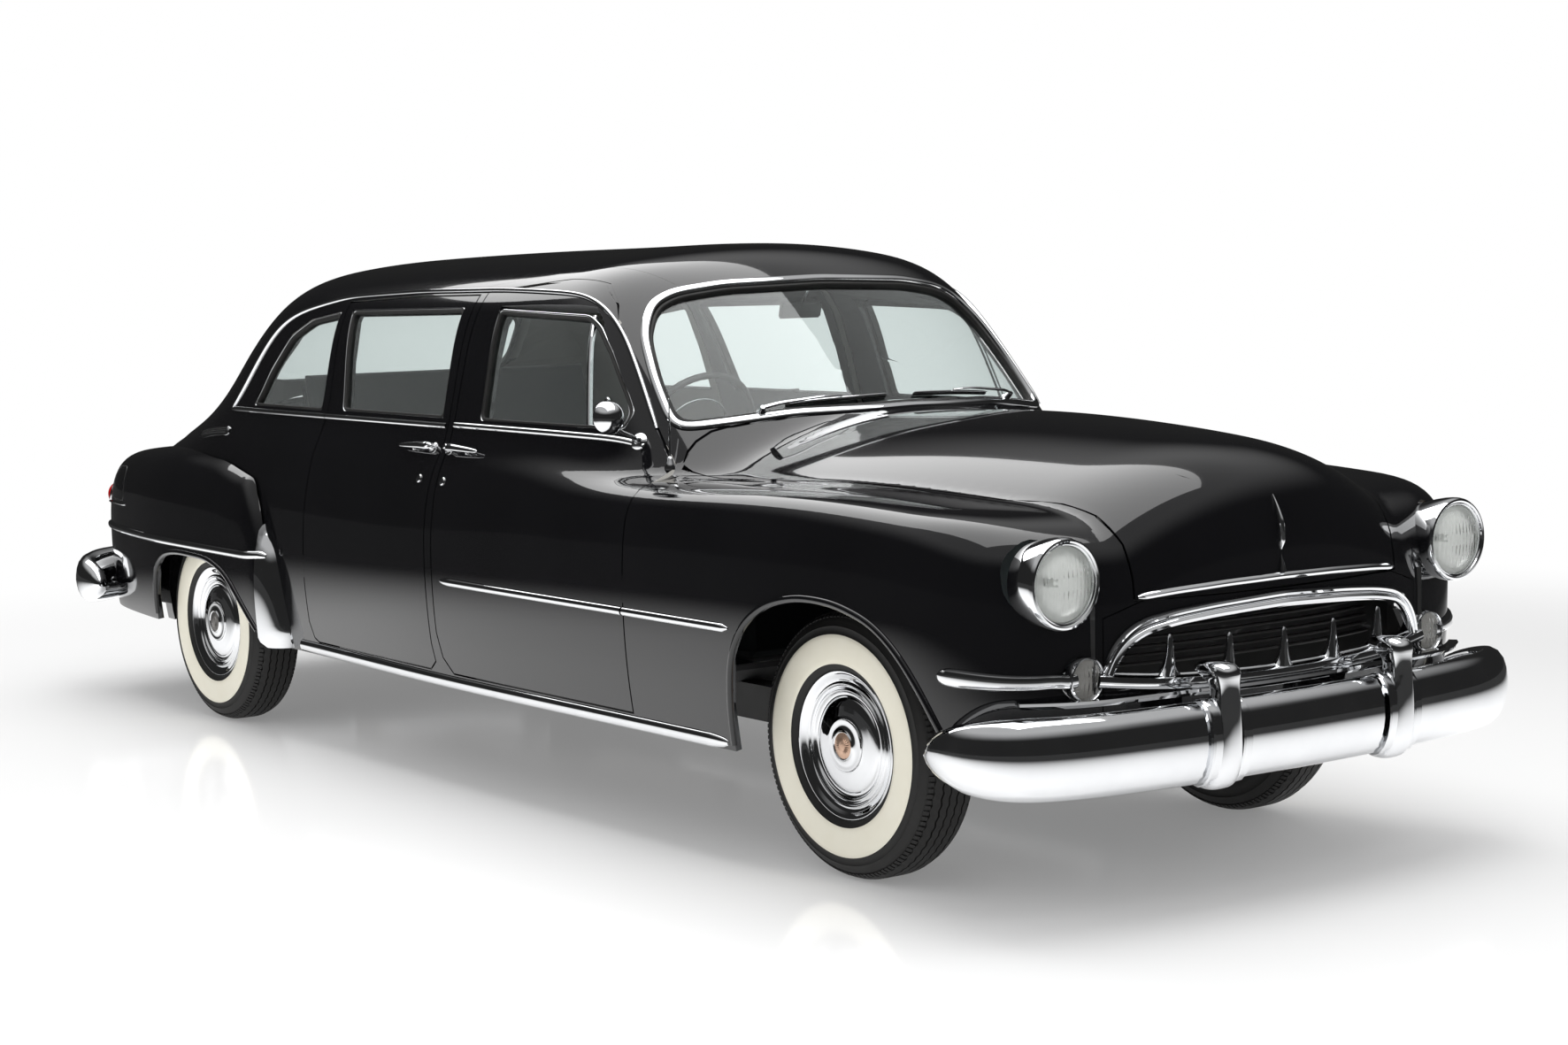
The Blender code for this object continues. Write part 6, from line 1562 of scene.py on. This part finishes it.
turned("air_cleaner", "body", (1.8, 0.0, 1.05), (0, 0, 1), AIR_CLEANER, 48, CHASSIS)
for label, side in SIDES.items():
    shape = bmesh.new()
    block(shape, (0.62, 0.115, 0.05), (1.84, side * 0.225, 1.045), -side * math.radians(32))
    round_edges(shape, 0.018, 4)
    fit(finished(f"valve_cover_{label}", shape, ENGINE), "body")
turned("fan_hub", "body", (2.285, 0.0, 0.8), (1, 0, 0), FAN_HUB, 40, STEEL)
line = even([(2.2, 0.1, 1.02), (2.28, 0.12, 1.045), (2.36, 0.14, 1.03), (2.405, 0.14, 0.99)], 0.012)
moulding("radiator_hose", "body", line, oval(0.022, 0.022, 16), (0.0, 1.0, 0.0), material=RUBBER)
print("chassis")

# %% [markdown]
# ## Cabin
#
# The seats are sprung benches in grey broadcloth, with a crowned cushion and a rolled back that is sewn in
# upright pleats. A cushion could be blown up as cloth. Each one here is lofted plump between its seams
# instead, because the benches are seen through glass, and the loft keeps the pleats sharp and evenly spaced.

# %% Cushion forms
ROWS, COLUMNS = 36, 96
PLEATS = 16
EDGE_ROUND = 0.075  # how far in from its seams a pad reaches its full thickness


def pillow(name, corners, thick, crown):
    """A closed pad on four corners (front left, front right, back right, back left)."""
    a, b, c, d = (np.array(corner, float) for corner in corners)
    up = unit(np.cross(b - a, d - a))
    u, v = np.meshgrid(np.linspace(0, 1, COLUMNS + 1), np.linspace(0, 1, ROWS + 1))
    across, deep = np.minimum(u, 1 - u), np.minimum(v, 1 - v)
    flat = sum(corner * share[..., None] for corner, share in (
        (a, (1 - u) * (1 - v)), (b, u * (1 - v)), (c, u * v), (d, (1 - u) * v)))
    edge = np.minimum(across * np.linalg.norm(b - a), deep * np.linalg.norm(d - a))
    dome = np.sqrt(np.clip(1 - np.clip(1 - edge / EDGE_ROUND, 0, 1) ** 2, 0, 1))
    swell = np.sin(np.pi * u) ** 0.5 * np.sin(np.pi * v) ** 0.6
    inner = np.clip((deep - 0.1) / 0.06, 0, 1) * np.clip((across - 0.04) / 0.03, 0, 1)
    sewn = -0.007 * (1 - np.abs(np.sin(np.pi * PLEATS * u)) ** 0.35) * inner
    pull = 0.02 * (np.sin(np.pi * u) + np.sin(np.pi * v) - 1)
    flat = flat + (flat - (a + b + c + d) / 4) * (np.clip(-pull, -0.02, 0.0)[..., None] * 0.6)
    shape = bmesh.new()
    for height in (thick / 2 * dome + crown * swell + sewn, -(thick / 2 * dome * 0.55 + crown * swell * 0.1)):
        loft(shape, flat + up * height[..., None], closed=False)
    bmesh.ops.remove_doubles(shape, verts=shape.verts, dist=1e-4)
    made = finished(name, shape, CLOTH, smooth=70)
    return made


# %% Front and rear benches
FLOOR_TOP_Z = 0.4303
BACK_HIGH = 0.705


def bench(name, x, low, width, replaced):
    half = width / 2 - 0.012
    back, front = (x + 0.02, low + 0.205), (x + 0.505, low + 0.245)
    foot, head = (x + 0.045, low + 0.235), (x - 0.085, low + BACK_HIGH)
    for part, (near, far), thick, crown, nodes in (("cushion", (front, back), 0.155, 0.022, [replaced]),
                                                   ("back", (foot, head), 0.12, 0.018, [])):
        corners = [(near[0], half, near[1]), (near[0], -half, near[1]), (far[0], -half, far[1]),
                   (far[0], half, far[1])]
        fit(pillow(f"{name}_{part}", corners, thick, crown), "body", *nodes)
    shape = bmesh.new()
    block(shape, (0.5, 2 * half - 0.02, 0.12), (x + 0.26, 0, low + 0.165))
    block(shape, (0.075, 2 * half - 0.03, 0.56), (x - 0.075, 0, low + 0.41), math.radians(-12), "Y")
    top = low + 0.12
    block(shape, (0.36, 2 * half - 0.18, top - FLOOR_TOP_Z), (x + 0.26, 0, (top + FLOOR_TOP_Z) / 2))
    round_edges(shape, 0.02, 3)
    fit(finished(f"{name}_base", shape, CLOTH, smooth=50), "body")


bench("front_bench", 0.05, 0.43, 1.46, "front_seat")
bench("rear_bench", -1.42, 0.6, 1.26, "rear_seat")
print("seats")

# %% [markdown]
# The dashboard is a pressing with one round cluster before the driver, two smaller dials, a row of plain
# knobs, and a grip over the top. The steering wheel has a thin moulded rim with finger ridges and a full horn
# ring.

# %% Dashboard
DASH_SECTION = [(1.096, 0.925), (1.04, 0.93), (1.0, 0.942), (0.968, 0.972), (0.946, 1.005), (0.934, 1.035),
                (0.93, 1.07), (0.934, 1.1), (0.945, 1.122), (0.965, 1.138), (0.995, 1.148), (1.02, 1.146),
                (1.06, 1.085), (1.096, 1.015)]
# place across the car, radius of the bezel, radius of the dial, radius of the ring of marks, number of marks
DIALS = [(-0.38, 0.062, 0.056, 0.048, 24), (-0.215, 0.038, 0.032, 0.026, 12),
         (-0.545, 0.038, 0.032, 0.026, 12)]
DIAL_Z = 1.07
KNOB = [(0.006, -0.01), (0.006, 0.008), (0.012, 0.011), (0.013, 0.018), (0.01, 0.022), (0.0, 0.023)]
BACKWARD = Matrix.Rotation(math.radians(90), 4, "Z")
shape = bmesh.new()
rings = []
for y in np.linspace(-0.695, 0.695, 41):
    pull = 0.03 * max(abs(y) - 0.55, 0) / 0.145
    rings.append([(x + pull * (1.096 - x) * 2, y, z) for x, z in DASH_SECTION])
loft(shape, rings, caps=True)
fit(finished("dashboard_shell", shape, DASH, smooth=40), "body", "dashboard")
shape = bmesh.new()
for y, r, *_ in DIALS:
    bezel = [(r, -0.01), (r + 0.004, 0.004), (r + 0.001, 0.009), (r - 0.006, 0.006), (r - 0.007, -0.004)]
    revolve(shape, bezel, 40, place=Matrix.Translation((0.934, y, DIAL_Z)) @ BACKWARD)
for y in (-0.06, 0.0, 0.06, 0.12, 0.3, 0.36):
    revolve(shape, KNOB, 20, place=Matrix.Translation((0.936, y, 1.03)) @ BACKWARD)
fit(finished("dashboard_knobs", shape, CHROME), "body")
shape = bmesh.new()
for y, _, r, *_ in DIALS:
    dial = [(r, -0.002), (r * 0.98, 0.001), (r * 0.3, 0.002), (0.006, 0.004), (0.0, 0.005)]
    revolve(shape, dial, 40, place=Matrix.Translation((0.934, y, DIAL_Z)) @ BACKWARD)
fit(finished("dashboard_dials", shape, BAKELITE), "body")
shape = bmesh.new()
for y, _, _, r, count in DIALS:
    for i in range(count):
        a = math.radians(-130 + 260 * i / (count - 1))
        place = (0.9315, y - r * math.sin(a), DIAL_Z + r * math.cos(a))
        block(shape, (0.0012, 0.0012, 0.005 if i % 2 else 0.008), place, a)
fit(finished("dial_marks", shape, CREAM), "body")
grip = even([(0.945, 0.18, 1.1), (0.918, 0.2, 1.108), (0.916, 0.4, 1.108), (0.918, 0.58, 1.106),
             (0.945, 0.6, 1.098)], 0.012, soft=3)
moulding("dashboard_grip", "body", grip, oval(0.009, 0.009, 12), (0.0, 0.1, 1.0))

# %% Steering wheel
HUB = Matrix.Translation((0.7, -0.38, 1.16)) @ Matrix.Rotation(math.radians(-62), 4, "Y")
UPRIGHT = Matrix.Rotation(math.pi / 2, 4, "X")
COLUMN = [(0.0, 0.012), (0.026, 0.01), (0.034, 0.0), (0.033, -0.02), (0.024, -0.03), (0.0196, -0.045),
          (0.0196, -0.42), (0.0, -0.42)]
HORN = [(0.024, 0.008), (0.023, 0.014), (0.016, 0.019), (0.0, 0.021)]
ROUND = oval(1, 1, 14)


def hoop(shape, radius, section, steps, ripple=0.0, ripples=0):
    """A section turned about Z, whose size swells and shrinks round the ring."""
    rings = []
    for i in range(steps):
        a = 2 * math.pi * i / steps
        swell = 1 + ripple * math.cos(ripples * a)
        rings.append([((radius + r * swell) * math.cos(a), (radius + r * swell) * math.sin(a), z * swell)
                      for r, z in section])
    loft(shape, rings, looped=True)


shape = bmesh.new()
hoop(shape, 0.218, oval(0.0112, 0.0112, 14), 144, 0.05, 48)
for side in (-1, 1):
    rings = []
    for share in np.linspace(0, 1, 12):
        wide, deep = 0.015 - 0.006 * share, 0.008 - 0.002 * share
        y, sag = side * (0.03 + 0.18 * share), 0.004 - 0.006 * math.sin(math.pi * share)
        rings.append([(wide * a, y, sag + deep * b) for a, b in ROUND])
    loft(shape, rings, caps=True)
revolve(shape, COLUMN, 32, place=UPRIGHT)
fit(finished("steering_rim_and_column", shape, BAKELITE, smooth=50, place=HUB), "body", "steering_wheel")
shape = bmesh.new()
hoop(shape, 0.128, [(0.0035 * a, 0.0035 * b + 0.006) for a, b in ROUND], 96)
revolve(shape, HORN, 32, place=UPRIGHT)
fit(finished("horn_ring", shape, CHROME, smooth=50, place=HUB), "body")

# %% Interior mirror
shape = bmesh.new()
block(shape, (0.014, 0.17, 0.052))
round_edges(shape, 0.006, 4)
place = Matrix.Translation((0.775, 0.0, 1.548)) @ Matrix.Rotation(math.radians(12), 4, "Y")
fit(finished("interior_mirror", shape, BAKELITE, place=place), "body")
line = even([(0.782, 0.0, 1.56), (0.8, 0.0, 1.59), (0.826, 0.0, 1.625), (0.838, 0.0, 1.65)], 0.008)
moulding("interior_mirror_stalk", "body", line, oval(0.004, 0.004, 8), (0.0, 1.0, 0.0))
print("cabin")

# %% [markdown]
# ## A plain studio
#
# A white sweep in a dark hall, with one wide soft light overhead. Black lacquer shows only what it mirrors:
# the dark hall keeps the doors black, and the light draws broad pale bands along the hood, the fenders and
# the roof.

# %% Floor
FLOOR_HALF = 60
SWEEP_START, SWEEP_END = 3.2, 6.5  # distances over which the floor turns into plain white

shape = bmesh.new()
bmesh.ops.create_grid(shape, x_segments=2, y_segments=2, size=FLOOR_HALF)
mesh = bpy.data.meshes.new("floor")
shape.to_mesh(mesh)
shape.free()
made = finish("white floor", None, None, Base_Color=(0.9, 0.9, 0.9, 1), Roughness=0.12,
              Specular_IOR_Level=0.45, Emission_Color=(1, 1, 1, 1), Emission_Strength=0.2)
tree = made.node_tree
w = Wire(tree)
place = w.make("ShaderNodeTexCoord", output=3)
far = w.make("ShaderNodeVectorMath", {0: place, 1: (0.0, 0.4, 0.0)}, output=1, operation="DISTANCE")
path = w.make("ShaderNodeLightPath").socket.node.outputs
mirrored = Wire(tree, path["Is Glossy Ray"]) - Wire(tree, path["Is Transmission Ray"])
glow = w.make("ShaderNodeEmission", {"Color": mirrored.mix((1, 1, 1), (0.04, 0.04, 0.04))})
plain = Wire(tree, tree.nodes["Principled BSDF"].outputs[0])
blend = w.make("ShaderNodeMixShader", {0: far.step(SWEEP_START, SWEEP_END), 1: plain, 2: glow})
tree.links.new(blend.socket, tree.nodes["Material Output"].inputs[0])
add("studio_floor", mesh, made)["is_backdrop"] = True

# %% Lamp
LAMP_PLACE, LAMP_SIZE, LAMP_POWER = (-1.7, 0.0, 6.0), (13.0, 5.0), 480
data = bpy.data.lights.new("overhead", "AREA")
data.shape = "RECTANGLE"
data.size, data.size_y = LAMP_SIZE
data.energy = LAMP_POWER
lamp = bpy.data.objects.new("overhead", data)
bpy.context.scene.collection.objects.link(lamp)
lamp.location = LAMP_PLACE
lamp.rotation_euler = Vector((0, 0, -1)).to_track_quat("-Z", "Y").to_euler()

# %% World
# The background is white for the camera and through glass. Mirrors see a dark hall with a bright ceiling.
HALL, CEILING, SURROUND = 0.018, 0.45, 0.84
world = bpy.data.worlds.new("studio")
bpy.context.scene.world = world
world.use_nodes = True
tree = world.node_tree
tree.nodes.clear()
w = Wire(tree)
path = w.make("ShaderNodeLightPath").socket.node.outputs
camera_ray, glossy_ray, through = (Wire(tree, path[name]) for name in (
    "Is Camera Ray", "Is Glossy Ray", "Is Transmission Ray"))
height = w.make("ShaderNodeSeparateXYZ", {0: w.make("ShaderNodeTexCoord", output=0)}, output=2)
ceiling = height.step(0.4, 0.75) * CEILING + HALL
direct = camera_ray.maths("MAXIMUM", through)
lit = glossy_ray * (ceiling - SURROUND) + SURROUND
background = w.make("ShaderNodeBackground", {"Color": (1, 1, 1, 1), "Strength": direct * (1 - lit) + lit})
tree.links.new(background.socket, tree.nodes.new("ShaderNodeOutputWorld").inputs[0])

# %% Camera
camera_data = bpy.data.cameras.new("camera")
camera_data.sensor_width = 36
camera_data.lens = 63.224
camera_data.shift_x, camera_data.shift_y = 0.0228, 0.0024
camera = bpy.data.objects.new("camera", camera_data)
bpy.context.scene.collection.objects.link(camera)
yaw, pitch, roll = math.radians(53.698), math.radians(5.646), math.radians(-1.036)
ahead = Vector((-math.sin(yaw) * math.cos(pitch), math.cos(yaw) * math.cos(pitch), -math.sin(pitch)))
right = ahead.cross(Vector((0, 0, 1))).normalized()
up = right.cross(ahead)
right, up = right * math.cos(roll) + up * math.sin(roll), up * math.cos(roll) - right * math.sin(roll)
camera.matrix_world = Matrix((right, up, -ahead)).transposed().to_4x4()
camera.location = (7.9014, -5.4599, 1.7341)
bpy.context.scene.camera = camera
bpy.context.scene.view_settings.view_transform = "Standard"

# %% Sizes and the end
low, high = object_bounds()
print("visual box", [round(v, 3) for v in low], [round(v, 3) for v in high])
